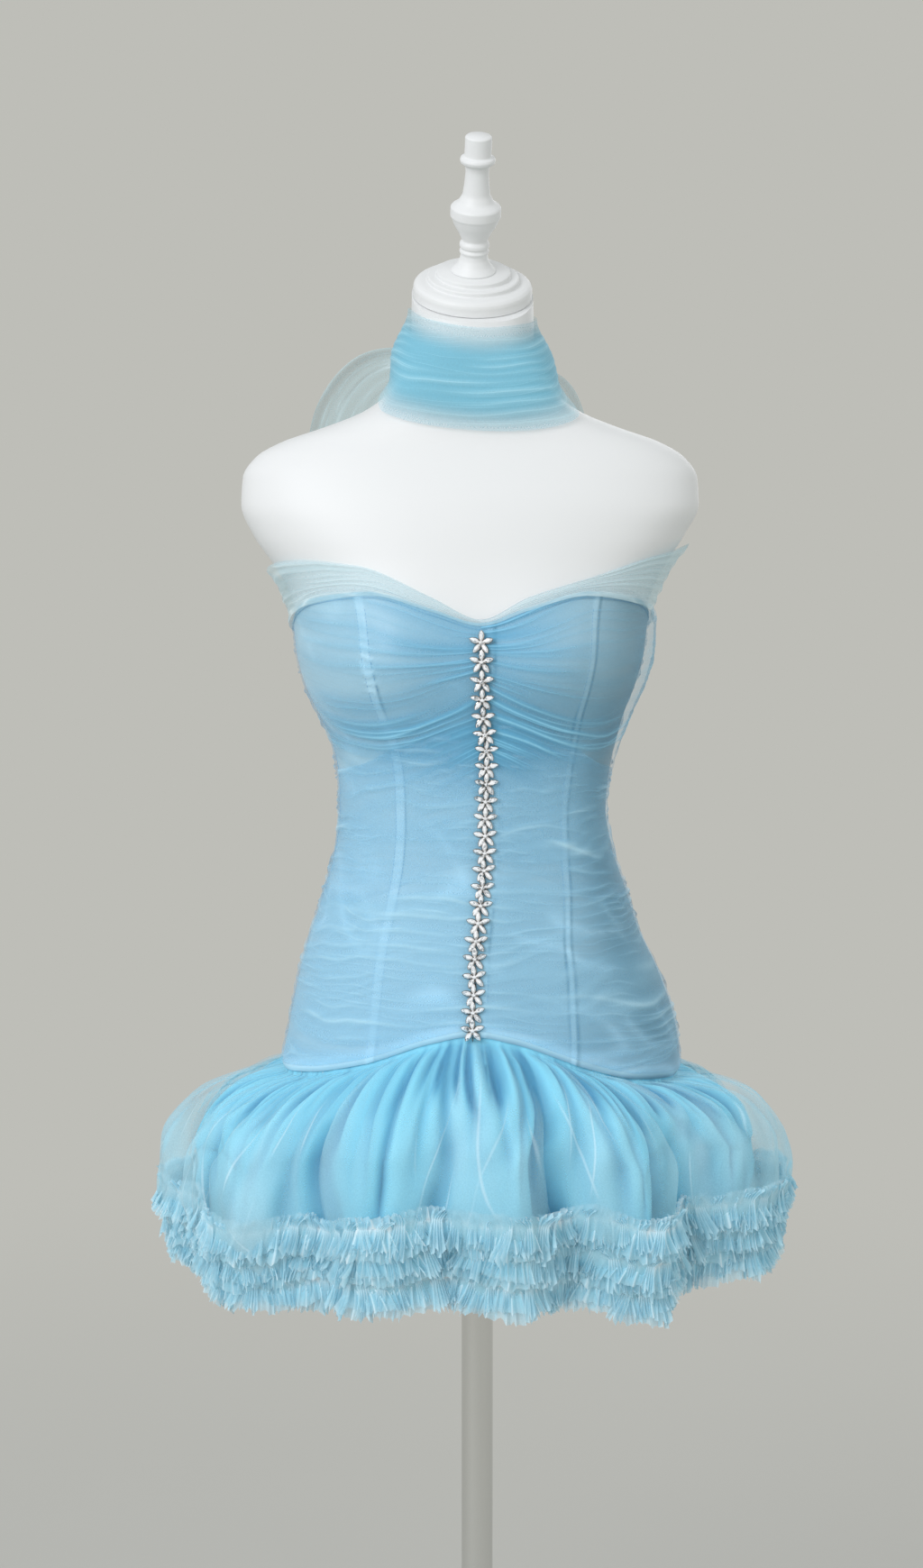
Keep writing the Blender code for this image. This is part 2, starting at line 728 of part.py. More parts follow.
def make_ruffles():
    """Each row is a plain solid of the reach of its pleated tulle strip."""
    base = TULLE_SKIRT_OUT + TULLE_WALL + GAP
    for row, (top, bottom) in enumerate(RUFFLE_FALLS, start=1):
        outs = ((bottom, RUFFLE_STAND), (top, RUFFLE_STAND - RUFFLE_TAPER))
        for half, start in HALVES:
            angles = half_skirt_angles(start)
            outer = [[skirt_point(a, f, base + out) for a in angles] for f, out in outs]
            inner = [[skirt_point(a, f, base) for a in angles] for f, _ in outs]
            cloth_wall(f"ruffle_{row}_{half}", outer, inner, "ruffle")


def scarf_point(angle, part, wall):
    """A point of the wound scarf: part runs from its lower edge, 0, to its upper edge, 1."""
    low, high = SCARF_EDGES.at("low", angle), SCARF_EDGES.at("high", angle)
    height = low + (high - low) * part
    side = 1 - SCARF_FRONT_CLOSE * bell(abs(angle), 0, SCARF_CLOSE_REACH)
    side -= SCARF_BACK_CLOSE * bell(abs(angle), 180, SCARF_CLOSE_REACH)
    full = SCARF_BULGE * side * bell(part, SCARF_FULLEST, SCARF_FULL_REACH)
    here = figure_point(angle, height)
    round_neck = Vector((here.x - NECK_TOP.x, here.y, 0)).normalized()
    return here + round_neck * (SCARF_OUT + full + wall)


def make_scarf():
    angles = [-180 + 360 * i / SCARF_COLUMNS for i in range(SCARF_COLUMNS)]
    parts = [r / SCARF_ROWS for r in range(SCARF_ROWS + 1)]
    outer = [[scarf_point(a, part, SCARF_WALL) for a in angles] for part in parts]
    inner = [[scarf_point(a, part, 0.0) for a in angles] for part in parts]
    cloth_wall("scarf_wrap", outer, inner, "sheer", ring=True)
    centre = scarf_point(180, 0.5, SCARF_WALL + GAP + KNOT_HALF.y)
    profile = []
    for i in range(KNOT_BANDS + 1):
        lift = KNOT_FLAT * (2 * i / KNOT_BANDS - 1)
        profile.append((lift, math.sqrt(1 - lift * lift)))
    place = Matrix.Translation(centre) @ Matrix.Diagonal((*KNOT_HALF, 1.0))
    turned("scarf_knot", profile, place, KNOT_SIDES, "sheer")
    for name, table in SCARF_ENDS.items():
        scarf_end(name, table)


def scarf_end(name, table):
    """One free end: it leaves the knot, spreads over the shoulder and hangs down the back."""
    def middle(step):
        return Vector([table.at(axis, step) for axis in "xyz"])

    outer, inner = [], []
    last = float(table.keys[-1])
    for r in range(SCARF_END_ROWS):
        step = last * r / (SCARF_END_ROWS - 1)
        along = (middle(min(step + 0.05, last)) - middle(max(step - 0.05, 0.0))).normalized()
        across = along.cross(Vector((0, 1, 0))).normalized()
        facing = across.cross(along).normalized()
        half = table.at("half", step)
        rows = ([], [])
        for c in range(SCARF_END_COLUMNS + 1):
            shift = across * half * (2 * c / SCARF_END_COLUMNS - 1)
            rows[0].append(middle(step) + shift + facing * SCARF_END_WALL / 2)
            rows[1].append(middle(step) + shift - facing * SCARF_END_WALL / 2)
        outer.append(rows[0])
        inner.append(rows[1])
    cloth_wall(name, outer, inner, "sheer")


def main():
    clear_scene()
    make_form()
    make_cap_and_finial()
    make_stand()
    make_corset()
    make_zip()
    make_overlay()
    make_bust_drapes()
    make_band()
    make_flowers()
    make_skirt()
    make_ruffles()
    make_scarf()


main()
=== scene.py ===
"""Looks for the ruched tulle mini dress on its dress form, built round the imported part.

The front faces -Y and +Z is up. Angles run round the figure in degrees: 0 is the centre
front, 90 the wearer's left side (+X) and 180 the centre back. Tables are in millimetres
and degrees, all else in metres.
"""

import json
import math

import bpy
import numpy as np
from bpy.props import FloatProperty, FloatVectorProperty, IntProperty, PointerProperty
from bpy.types import Operator, Panel, PropertyGroup
from mathutils import Matrix, Vector

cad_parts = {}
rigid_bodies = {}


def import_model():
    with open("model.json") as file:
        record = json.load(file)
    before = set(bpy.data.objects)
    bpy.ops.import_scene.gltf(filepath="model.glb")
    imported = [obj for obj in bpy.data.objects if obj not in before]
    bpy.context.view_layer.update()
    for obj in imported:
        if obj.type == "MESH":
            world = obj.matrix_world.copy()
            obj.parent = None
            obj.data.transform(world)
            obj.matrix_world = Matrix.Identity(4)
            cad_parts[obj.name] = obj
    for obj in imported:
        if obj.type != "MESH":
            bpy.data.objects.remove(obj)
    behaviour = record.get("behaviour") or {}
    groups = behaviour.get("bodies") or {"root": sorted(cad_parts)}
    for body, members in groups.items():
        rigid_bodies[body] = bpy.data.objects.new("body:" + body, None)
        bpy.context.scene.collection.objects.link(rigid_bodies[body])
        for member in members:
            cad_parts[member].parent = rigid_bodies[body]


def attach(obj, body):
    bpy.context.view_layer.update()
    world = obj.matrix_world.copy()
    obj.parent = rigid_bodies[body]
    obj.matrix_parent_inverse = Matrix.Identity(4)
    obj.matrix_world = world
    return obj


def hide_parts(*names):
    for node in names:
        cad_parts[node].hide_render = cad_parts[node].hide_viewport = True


bl_info = {
    "name": "Ruched Tulle Dress Looks",
    "version": (1, 0, 0),
    "blender": (4, 5, 0),
    "location": "3D View > Sidebar > Dress",
    "description": "Builds the cloth, trim, form and stage of a ruched tulle mini dress",
    "category": "Object",
}

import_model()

MM = 0.001

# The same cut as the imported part.
CORSET_OUT = 3.0 * MM  # outer face of the satin, from the form's skin
SEAM_COLUMNS = (0, 4, 9, 14, 18)
SEAM_ANGLES = (0, 40, 90, 143, 180)
REAR = SEAM_COLUMNS[-1]
SIDE_SEAM = SEAM_COLUMNS[2]
CHEST_SQUARE = 0.22
CUP_SIDE, CUP_HEIGHT = 66 * MM, 1260 * MM
CUP_WIDTH, CUP_RISE = 55 * MM, 50 * MM
CUP_DEPTH, FORM_CUP_DEPTH = 24 * MM, 20 * MM
NECK_TOP = Vector((-0.0045, 0.0, 1.557))
CAP_TILT, CAP_LEAN = math.radians(28), math.radians(2)
NECK_BEND_START = 1.515
FORM_FOOT_EDGE = 6 * MM
FINIAL_LENGTH = 134 * MM
POLE_RADIUS, BOSS_TOP = 13.5 * MM, 50 * MM
BASE_RADIUS, BASE_EDGE, BASE_THICK, BOSS_RADIUS = 180 * MM, 3 * MM, 12 * MM, 24 * MM
FLOWER_COUNT = 23
FLOWER_TOP, FLOWER_BOTTOM = 1.274, 0.9615
SKIRT_CLEAR, SKIRT_DROP = 1.0 * MM, 3.2 * MM
SKIRT_SIDE, SKIRT_FRONT, SKIRT_BACK = 244 * MM, 196 * MM, 214 * MM
SKIRT_CENTRE = -8 * MM
SIDE_PUFF, PUFF_ANGLE, PUFF_REACH = 18 * MM, 76, 46
RUFFLE_TOPS = (0.60, 0.74, 0.87)  # parts of the fall at which the rows start
SCARF_OUT, SCARF_BULGE = 1.6 * MM, 13 * MM
SCARF_FRONT_CLOSE, SCARF_BACK_CLOSE, SCARF_CLOSE_REACH = 0.65, 0.5, 60
SCARF_FULLEST, SCARF_FULL_REACH = 0.42, 0.58
KNOT_HALF = (0.015, 0.0125, 0.013)


class Table:
    """Rows of sizes with named columns, read along smooth curves between the rows."""

    def __init__(self, names, rows, key_scale, value_scale):
        values = np.array(rows, float)
        self.keys = values[:, 0] * key_scale
        self.columns = {}
        for index, name in enumerate(names[1:], start=1):
            heights = values[:, index] * value_scale
            self.columns[name] = (heights, self.slopes(heights))

    def slopes(self, heights):
        """Slopes that never overshoot a row."""
        steps = np.diff(self.keys)
        rises = np.diff(heights) / steps
        found = np.zeros(len(heights))
        found[0], found[-1] = rises[0], rises[-1]
        for i in range(1, len(heights) - 1):
            if rises[i - 1] * rises[i] > 0:
                before = 2 * steps[i] + steps[i - 1]
                after = steps[i] + 2 * steps[i - 1]
                found[i] = (before + after) / (before / rises[i - 1] + after / rises[i])
        return found

    def at(self, name, key):
        heights, slopes = self.columns[name]
        key = np.clip(np.asarray(key, float), self.keys[0], self.keys[-1])
        i = np.clip(np.searchsorted(self.keys, key, side="right") - 1, 0, len(heights) - 2)
        step = self.keys[i + 1] - self.keys[i]
        t = (key - self.keys[i]) / step
        return (
            heights[i] * (1 + 2 * t) * (1 - t) ** 2
            + slopes[i] * step * t * (1 - t) ** 2
            + heights[i + 1] * t * t * (3 - 2 * t)
            + slopes[i + 1] * step * t * t * (t - 1)
        )


# The general figure of the form, a row for each section from its foot to its neck.
FIGURE = Table(
    ("height", "half_width", "front", "back", "centre"),
    (
        (866, 152, 89, 99, 3),
        (886, 161, 94, 106, 3),
        (915, 165, 98, 111, 3),
        (945, 161, 98, 112, 4),
        (995, 147.5, 94, 106, 1),
        (1030, 134, 89, 97, -2),
        (1064, 123, 84, 88, -2),
        (1098, 113, 80, 80, -3),
        (1133, 108.5, 79, 75, -4),
        (1167, 111, 81, 76, -3),
        (1190, 116, 84, 79, -3),
        (1212, 124, 87, 83, -5),
        (1235, 134, 90, 86, -6),
        (1262, 141.5, 92, 88, -6),
        (1290, 145, 92, 90, -6),
        (1312, 150.5, 90, 92, -6),
        (1333, 161, 87, 93, -7),
        (1360, 179, 83, 94, -7.5),
        (1385, 190, 77, 93, -6.5),
        (1408, 188.5, 68, 90, -6.5),
        (1425, 177, 60.5, 85, -6.5),
        (1437, 156, 55.5, 81, -6),
        (1449, 121, 53.5, 77, -5.5),
        (1461, 91, 52.5, 72, -5),
        (1473, 73, 51.5, 64, -5),
        (1488, 58, 50.5, 56, -4.5),
        (1505, 51.5, 50, 52, -4.5),
        (1530, 50.5, 50, 50.5, -4.5),
        (1575, 50, 50, 50, -4.5),
    ),
    MM,
    MM,
)

# Heights of the bodice's edges round the figure.
EDGES = Table(
    ("angle", "hip", "underbust", "neckline", "band"),
    (
        (-180, 922, 1180, 1268, 1300),
        (-135, 915, 1172, 1272, 1312),
        (-90, 912, 1158, 1291, 1335),
        (-60, 919, 1165, 1309, 1341),
        (-35, 935, 1185, 1314, 1335),
        (-15, 950, 1201, 1300, 1310),
        (0, 956, 1206, 1289.5, 1292.5),
        (15, 950, 1201, 1301, 1310),
        (35, 935, 1185, 1314, 1326),
        (60, 915, 1165, 1309, 1345),
        (90, 909, 1158, 1292, 1357),
        (135, 914, 1172, 1272, 1318),
        (180, 922, 1180, 1268, 1300),
    ),
    1.0,
    MM,
)

# Where the long seams run at each height: the whole dress is twisted a little on the form.
SEAMS = Table(
    ("height", "twist", "princess", "side", "back"),
    (
        (900, -4, 31, 90, 149),
        (960, -3, 32, 90, 148),
        (1030, 0, 35, 90, 146),
        (1133, 5, 39, 90, 143),
        (1235, 4, 40, 90, 142),
        (1360, 2, 41, 90, 142),
    ),
    MM,
    1.0,
)

# Hem height and fold depth round the skirt: a crest or a valley of a big flute in each row.
FLUTES = Table(
    ("angle", "hem", "stand"),
    (
        (-180, 758, 10),
        (-166, 762, -13),
        (-152, 757, 11),
        (-137, 761, -10),
        (-121, 756, 12),
        (-103, 761, -8),
        (-84, 760, 13),
        (-68, 762, -3),
        (-52, 752, 12),
        (-31, 762, -15),
        (-17, 766, 11),
        (-4, 769, -13),
        (9, 768, 12),
        (20, 769, -15),
        (36, 752, 14),
        (49, 768, -16),
        (68, 770, 19),
        (88, 765, 23),
        (104, 764, -10),
        (122, 757, 12),
        (138, 761, -11),
        (152, 757, 10),
        (166, 762, -12),
        (180, 758, 10),
    ),
    1.0,
    MM,
)

# The skirt's side view: how far it has flared out at each part of its fall.
SKIRT_FALL = Table(
    ("fall", "flare"),
    ((0, 0), (0.03, 0.22), (0.10, 0.50), (0.22, 0.78), (0.40, 0.96), (0.62, 1.0), (1.0, 0.91)),
    1.0,
    1.0,
)

# Lower and upper edge of the wound scarf round the neck.
SCARF_EDGES = Table(
    ("angle", "low", "high"),
    (
        (-180, 1490, 1546),
        (-120, 1484, 1549),
        (-80, 1475, 1545),
        (-40, 1456, 1533),
        (10, 1441, 1526),
        (50, 1454, 1530),
        (85, 1474, 1537),
        (130, 1484, 1545),
        (180, 1490, 1546),
    ),
    1.0,
    MM,
)

# The two ends of the scarf: middle line and width, from the knot to the tip.
SCARF_ENDS = {
    "scarf_end_right": Table(
        ("step", "x", "y", "z", "half"),
        (
            (0, -21.2, 74, 1518, 9),
            (1, -50, 90, 1503, 21),
            (2, -88, 101, 1488, 31),
            (3, -112, 112, 1450, 34),
            (4, -118, 117, 1390, 35),
            (5, -120, 117, 1310, 36),
        ),
        1.0,
        MM,
    ),
    "scarf_end_left": Table(
        ("step", "x", "y", "z", "half"),
        (
            (0, 14.2, 74, 1518, 8),
            (1, 42, 90, 1494, 18),
            (2, 64, 102, 1472, 25),
            (3, 72, 113, 1432, 28),
            (4, 74, 118, 1378, 30),
            (5, 75, 118, 1312, 31),
        ),
        1.0,
        MM,
    ),
}

# Turned profiles: radius at each distance below the finial's top, along the leaning axis.
FINIAL_PROFILE = (
    (0, 9.5), (1.2, 10.8), (16.5, 10.8), (17.5, 13.6), (19.5, 14.4), (22, 13.6), (23.5, 10.2),
    (29, 9.4), (38, 10.0), (48, 11.2), (54, 14.5), (57.5, 19.5), (59, 20.6), (66, 20.6), (67.5, 19.6),
    (73, 17.4), (80, 13.2), (86, 10.4), (89, 12.2), (91.5, 12.2), (93, 10.8), (95.5, 12.4), (98, 11.0),
    (102, 11.6), (107, 14.0), (111.5, 18.2), (112.4, 18.4),
)
CAP_PROFILE = (
    (112.7, 29.4), (113.6, 30.5), (116.8, 30.5), (117.1, 36.8), (118.0, 37.8), (121.2, 37.8),
    (121.5, 43.0), (122.6, 46.2), (124.6, 48.3), (127.0, 49.0), (133.7, 49.0),
)


def bell(value, middle, half_width):
    """1 at the middle, falling smoothly to 0 half a width away."""
    away = np.minimum(np.abs(np.asarray(value, float) - middle) / half_width, 1.0)
    return (1 + np.cos(np.pi * away)) / 2


def ramp(value, start, end):
    """0 at the start and 1 at the end, with soft ends."""
    t = np.clip((np.asarray(value, float) - start) / (end - start), 0.0, 1.0)
    return t * t * (3 - 2 * t)


def unit(vectors):
    """The same directions, one metre long."""
    return vectors / np.maximum(np.linalg.norm(vectors, axis=-1, keepdims=True), 1e-12)


def run_along(points):
    """Metres walked along a line of points, from its first to each of them."""
    return np.concatenate([[0.0], np.linalg.norm(np.diff(points, axis=0), axis=1).cumsum()])


class Noise:
    """Smooth random heights from -1 to 1 over a plane, the same on every run."""

    CELLS = 256

    def __init__(self, seed, loop=CELLS):
        self.grid = np.random.default_rng(seed).uniform(-1, 1, (self.CELLS, self.CELLS))
        self.loop = loop  # cells along x before the pattern comes round again

    def at(self, x, y):
        x, y = np.broadcast_arrays(np.asarray(x, float), np.asarray(y, float))
        left, low = np.floor(x), np.floor(y)
        s, t = x - left, y - low
        s, t = s * s * (3 - 2 * s), t * t * (3 - 2 * t)
        a, b = left.astype(int) % self.loop, (left.astype(int) + 1) % self.loop
        c, d = low.astype(int) % self.CELLS, (low.astype(int) + 1) % self.CELLS
        lower = self.grid[a, c] * (1 - s) + self.grid[b, c] * s
        upper = self.grid[a, d] * (1 - s) + self.grid[b, d] * s
        return lower * (1 - t) + upper * t


def creases(noise, sharpness):
    """Thin lines, 1 along each line, where smooth noise passes through zero."""
    return (1 - np.minimum(np.abs(noise), 1.0)) ** sharpness


def streaks(phase, along, seed):
    """Long folds side by side, one for each whole step of phase, each fading in and out.

    Gives how high each fold stands, its place (a crest at every half) and its strength.
    """
    warp = 0.55 * Noise(seed).at(along * 0.8, phase * 0.3)
    place = phase + warp + 0.22 * Noise(seed + 1).at(along * 2.3, phase * 0.5)
    number = np.floor(place)
    strength = ramp(Noise(seed + 2).at(along, number + 0.37), -0.45, 0.65)
    return np.sin(np.pi * (place - number)) ** 2 * strength, place, strength


def round_streaks(turns, fall, count, slant, seed):
    """The same down a skirt, joining up where it closes: turns counts once round it."""
    drift = 0.9 * Noise(seed, 12).at(turns * 12, fall * 1.8) + slant * fall
    place = turns * count + drift
    number = np.floor(place)
    strength = ramp(Noise(seed + 1).at(fall * 3.2, number % count + 0.37), -0.45, 0.65)
    return np.sin(np.pi * (place - number)) ** 2 * strength, place, strength


def figure_points(angle, height, cup_depth=CUP_DEPTH):
    """Points on the figure that the dress is cut to."""
    turn = np.radians(angle)
    side, ahead = np.sin(turn), np.cos(turn)
    centre = FIGURE.at("centre", height)
    x = FIGURE.at("half_width", height) * side
    depth = np.where(ahead > 0, FIGURE.at("front", height), FIGURE.at("back", height))
    y = -depth * ahead * (1 + CHEST_SQUARE * side * side)
    rise = np.exp(-(((height - CUP_HEIGHT) / CUP_RISE) ** 2))
    wide = sum(np.exp(-(((x - cup) / CUP_WIDTH) ** 2)) for cup in (-CUP_SIDE, CUP_SIDE))
    y = y - np.where(ahead > 0, cup_depth * rise * wide * ahead * (2 - ahead), 0.0)
    return np.stack(np.broadcast_arrays(centre + x, y, height), -1)


def off_skin(angle, height, out):
    """Points out metres off the figure."""
    across = figure_points(angle + 1, height) - figure_points(angle - 1, height)
    up = figure_points(angle, height + MM) - figure_points(angle, height - MM)
    here = figure_points(angle, height)
    return here + unit(np.cross(across, up)) * np.asarray(out)[..., None]


def metres_per_degree(angle, height):
    """How far one degree reaches along the figure's skin."""
    across = figure_points(angle + 1, height) - figure_points(angle - 1, height)
    return np.linalg.norm(across, axis=-1) / 2


def seam_angle(column, height):
    """The angle of a column of the bodice: the long seams sit at SEAM_COLUMNS."""
    column = np.asarray(column, float)
    whole = np.where(column > REAR, 360.0, 0.0)
    rest = np.where(column > REAR, column - 2 * REAR, column)
    seams = [0.0, *(SEAMS.at(name, height) for name in ("princess", "side", "back")), 180.0]
    angle = np.zeros(np.broadcast(rest, height).shape)
    for i in range(len(seams) - 1):
        low, high = SEAM_COLUMNS[i], SEAM_COLUMNS[i + 1]
        share = np.clip((np.abs(rest) - low) / (high - low), 0, 1)
        angle = angle + share * (seams[i + 1] - seams[i])
    return whole + np.sign(rest) * angle + SEAMS.at("twist", height)


def nominal_angle(column):
    """The angle of a column if the dress had no twist and its seams ran straight."""
    rest = np.where(column > REAR, column - 2 * REAR, column)
    return np.sign(rest) * np.interp(np.abs(rest), SEAM_COLUMNS, SEAM_ANGLES)


LEVELS = ("hip", "underbust", "neckline", "band")


def bodice_height(column, level):
    """level 0 is the hip seam, 1 the line under the bust, 2 the neckline, 3 the band's top."""
    angle = nominal_angle(np.asarray(column, float))
    edges = np.stack(np.broadcast_arrays(*(EDGES.at(name, angle) for name in LEVELS)))
    low = np.clip(np.floor(level), 0, len(LEVELS) - 2).astype(int)
    low, spread = np.broadcast_arrays(low, angle)
    below = np.take_along_axis(edges.reshape(len(LEVELS), -1), low.reshape(1, -1), 0)
    above = np.take_along_axis(edges.reshape(len(LEVELS), -1), low.reshape(1, -1) + 1, 0)
    below, above = below.reshape(spread.shape), above.reshape(spread.shape)
    return below + (above - below) * (level - low)


def hip_edge(angle, out):
    """The bodice's lower edge, at nominal angles."""
    column = np.sign(angle) * np.interp(np.abs(angle), SEAM_ANGLES, SEAM_COLUMNS)
    first = np.floor(column)
    ends = []
    for whole in (first, first + 1):
        height = bodice_height(whole, 0.0)
        ends.append(off_skin(seam_angle(whole, height), height, out))
    share = (column - first)[..., None]
    return ends[0] * (1 - share) + ends[1] * share


def wrapped(angle):
    """The same angle between -180 and 180."""
    return (np.asarray(angle, float) + 180.0) % 360.0 - 180.0


def skirt_surface(angle, fall):
    """The skirt's own surface: fall 0 is the gathered edge and 1 the hem."""
    angle = wrapped(angle)
    start = hip_edge(angle, SKIRT_CLEAR)
    start[..., 2] -= SKIRT_DROP
    turn = np.radians(angle)
    depth = np.where(np.cos(turn) > 0, SKIRT_FRONT, SKIRT_BACK)
    outward = np.stack([np.sin(turn) / SKIRT_SIDE, -np.cos(turn) / depth, 0 * turn], -1)
    hem = np.stack([SKIRT_CENTRE + SKIRT_SIDE * np.sin(turn), -depth * np.cos(turn)], -1)
    bottom = FLUTES.at("hem", angle)
    flare = SKIRT_FALL.at("flare", np.clip(fall, 0, 1))
    point = start.copy()
    point[..., :2] += (hem - start[..., :2]) * flare[..., None]
    stand = FLUTES.at("stand", angle) * flare**2
    point = point + unit(outward) * stand[..., None]
    rise = SIDE_PUFF * bell(angle, PUFF_ANGLE, PUFF_REACH) * flare
    point[..., 2] = start[..., 2] + (bottom - start[..., 2]) * fall
    point[..., 2] += rise * np.clip(1 - fall, 0, 1) ** 1.5
    return point


def skirt_outward(angle, fall):
    """Directions straight out of the skirt's surface."""
    step = 0.01
    around = skirt_surface(angle + 1, fall) - skirt_surface(angle - 1, fall)
    high, low = np.clip(fall + step, 0, 1), np.clip(fall - step, 0, 1)
    down = skirt_surface(angle, high) - skirt_surface(angle, low)
    return unit(np.cross(down, around))


def scarf_points(angle, part, out):
    """The wound scarf: part runs from its lower edge, 0, to its upper edge, 1."""
    low, high = SCARF_EDGES.at("low", angle), SCARF_EDGES.at("high", angle)
    height = low + (high - low) * part
    side = 1 - SCARF_FRONT_CLOSE * bell(np.abs(angle), 0, SCARF_CLOSE_REACH)
    side = side - SCARF_BACK_CLOSE * bell(np.abs(angle), 180, SCARF_CLOSE_REACH)
    full = SCARF_BULGE * side * bell(part, SCARF_FULLEST, SCARF_FULL_REACH)
    here = figure_points(angle, height)
    round_neck = here - np.array([NECK_TOP.x, 0.0, 0.0])
    round_neck[..., 2] = 0.0
    return here + unit(round_neck) * (SCARF_OUT + full + out)[..., None]


# Meshes


def grid_faces(rows, columns, ring=False):
    """Four-cornered faces between the points of a grid, closed round its rows if a ring."""
    last = columns if ring else columns - 1
    r, c = np.meshgrid(np.arange(rows - 1), np.arange(last), indexing="ij")
    right = (c + 1) % columns
    corners = (r * columns + c, r * columns + right, (r + 1) * columns + right, (r + 1) * columns + c)
    return np.stack(corners, -1).reshape(-1, 4)


def mesh_piece(name, points, faces, material, marks=None, uv=None):
    """A smooth-shaded object from points, faces, named point values and a flat layout."""
    mesh = bpy.data.meshes.new(name)
    mesh.from_pydata(np.asarray(points, float).reshape(-1, 3).tolist(), [], [list(f) for f in faces])
    for mark, values in (marks or {}).items():
        attribute = mesh.attributes.new(mark, "FLOAT", "POINT")
        attribute.data.foreach_set("value", np.asarray(values, np.float32).ravel())
    if uv is not None:
        corner = np.zeros(len(mesh.loops), np.int32)
        mesh.loops.foreach_get("vertex_index", corner)
        layer = mesh.uv_layers.new(name="UVMap")
        layer.data.foreach_set("uv", np.asarray(uv, np.float32).reshape(-1, 2)[corner].ravel())
    if material:
        mesh.materials.append(material)
    mesh.shade_smooth()
    made = bpy.data.objects.new(name, mesh)
    bpy.context.scene.collection.objects.link(made)
    return made


def sheet_piece(name, points, material, fold_and_shading, ring=False, cover=None, lines=()):
    """A cloth sheet from a grid of points; its flat layout runs in metres along the grid.

    fold_and_shading says how pale it is, from net folded on itself or from painted light and shade, cover
    how dense, and lines where its thin crests run.
    """
    rows, columns = points.shape[:2]
    along = np.linalg.norm(np.diff(points, axis=1), axis=-1).cumsum(axis=1)
    up = np.linalg.norm(np.diff(points, axis=0), axis=-1).cumsum(axis=0)
    along = np.concatenate([np.zeros((rows, 1)), along], axis=1)
    up = np.concatenate([np.zeros((1, columns)), up], axis=0)
    marks = {"fold_and_shading": fold_and_shading, "cover": fold_and_shading if cover is None else cover}
    for index, (place, strength) in enumerate(lines, start=1):
        marks |= {f"line_{index}": place, f"show_{index}": strength}
    marks = {mark: np.broadcast_to(values, (rows, columns)) for mark, values in marks.items()}
    faces = grid_faces(rows, columns, ring)
    return mesh_piece(name, points, faces, material, marks, np.stack([along, up], -1))


def finished(piece, slot, *nodes):
    """The piece moves with the part and stands for these nodes of it."""
    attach(piece, "root")
    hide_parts(*nodes)
    return piece


# Materials

# Marks to the millimetre in each finish. The net's slubs and the satin's threads are drawn as coarse as
# they need to be to show, and the stones' painted glints are cells of this size.
SLUBS, SATIN_THREADS, STONE_GLINTS = 0.9, 1.4, 0.56
PEEL_DIMPLES, HANDLING_MARKS, FLOOR_PATCHES = 0.16, 0.03, 0.003


def colour(code):
    """The linear colour of a written sRGB one, such as #80a0c0."""
    values = [int(code[i : i + 2], 16) / 255 for i in (1, 3, 5)]
    linear = [v / 12.92 if v <= 0.04045 else ((v + 0.055) / 1.055) ** 2.4 for v in values]
    return (*linear, 1.0)


def add_node(tree, kind, inputs=None, **settings):
    """A node with its settings, and its inputs set to values or joined to other sockets."""
    node = tree.nodes.new(kind)
    for name, value in settings.items():
        setattr(node, name, value)
    for name, value in (inputs or {}).items():
        if isinstance(value, bpy.types.NodeSocket):
            tree.links.new(value, node.inputs[name])
        else:
            node.inputs[name].default_value = value
    return node


def shader_of(name, **values):
    """A material and its main shader, with plain values on the shader's sockets."""
    made = bpy.data.materials.new(name)
    made.use_nodes = True
    shader = made.node_tree.nodes["Principled BSDF"]
    for socket, value in values.items():
        shader.inputs[socket.replace("_", " ")].default_value = value
    return made, made.node_tree, shader


def crest_lines(tree, width):
    """The thin crests of a sheet's folds, from the places marked on it: 1 along each crest, where the net
    is drawn paler and denser, partly as net turned edge-on and partly as a painted highlight.
    """
    found = []
    for index in (1, 2):
        place = add_node(tree, "ShaderNodeAttribute", attribute_name=f"line_{index}").outputs["Fac"]
        strength = add_node(tree, "ShaderNodeAttribute", attribute_name=f"show_{index}").outputs["Fac"]
        part = add_node(tree, "ShaderNodeMath", {0: place}, operation="FRACT")
        away = add_node(tree, "ShaderNodeMath", {0: part.outputs[0], 1: 0.5}, operation="SUBTRACT")
        away = add_node(tree, "ShaderNodeMath", {0: away.outputs[0]}, operation="ABSOLUTE")
        inputs = {"Value": away.outputs[0], "From Max": width, "To Min": 1.0, "To Max": 0.0}
        line = add_node(tree, "ShaderNodeMapRange", inputs, interpolation_type="SMOOTHSTEP")
        line = add_node(tree, "ShaderNodeMath", {0: line.outputs[0], 1: strength}, operation="MULTIPLY")
        found.append(line.outputs[0])
    inputs = dict(enumerate(found))
    return add_node(tree, "ShaderNodeMath", inputs, operation="MAXIMUM").outputs[0]


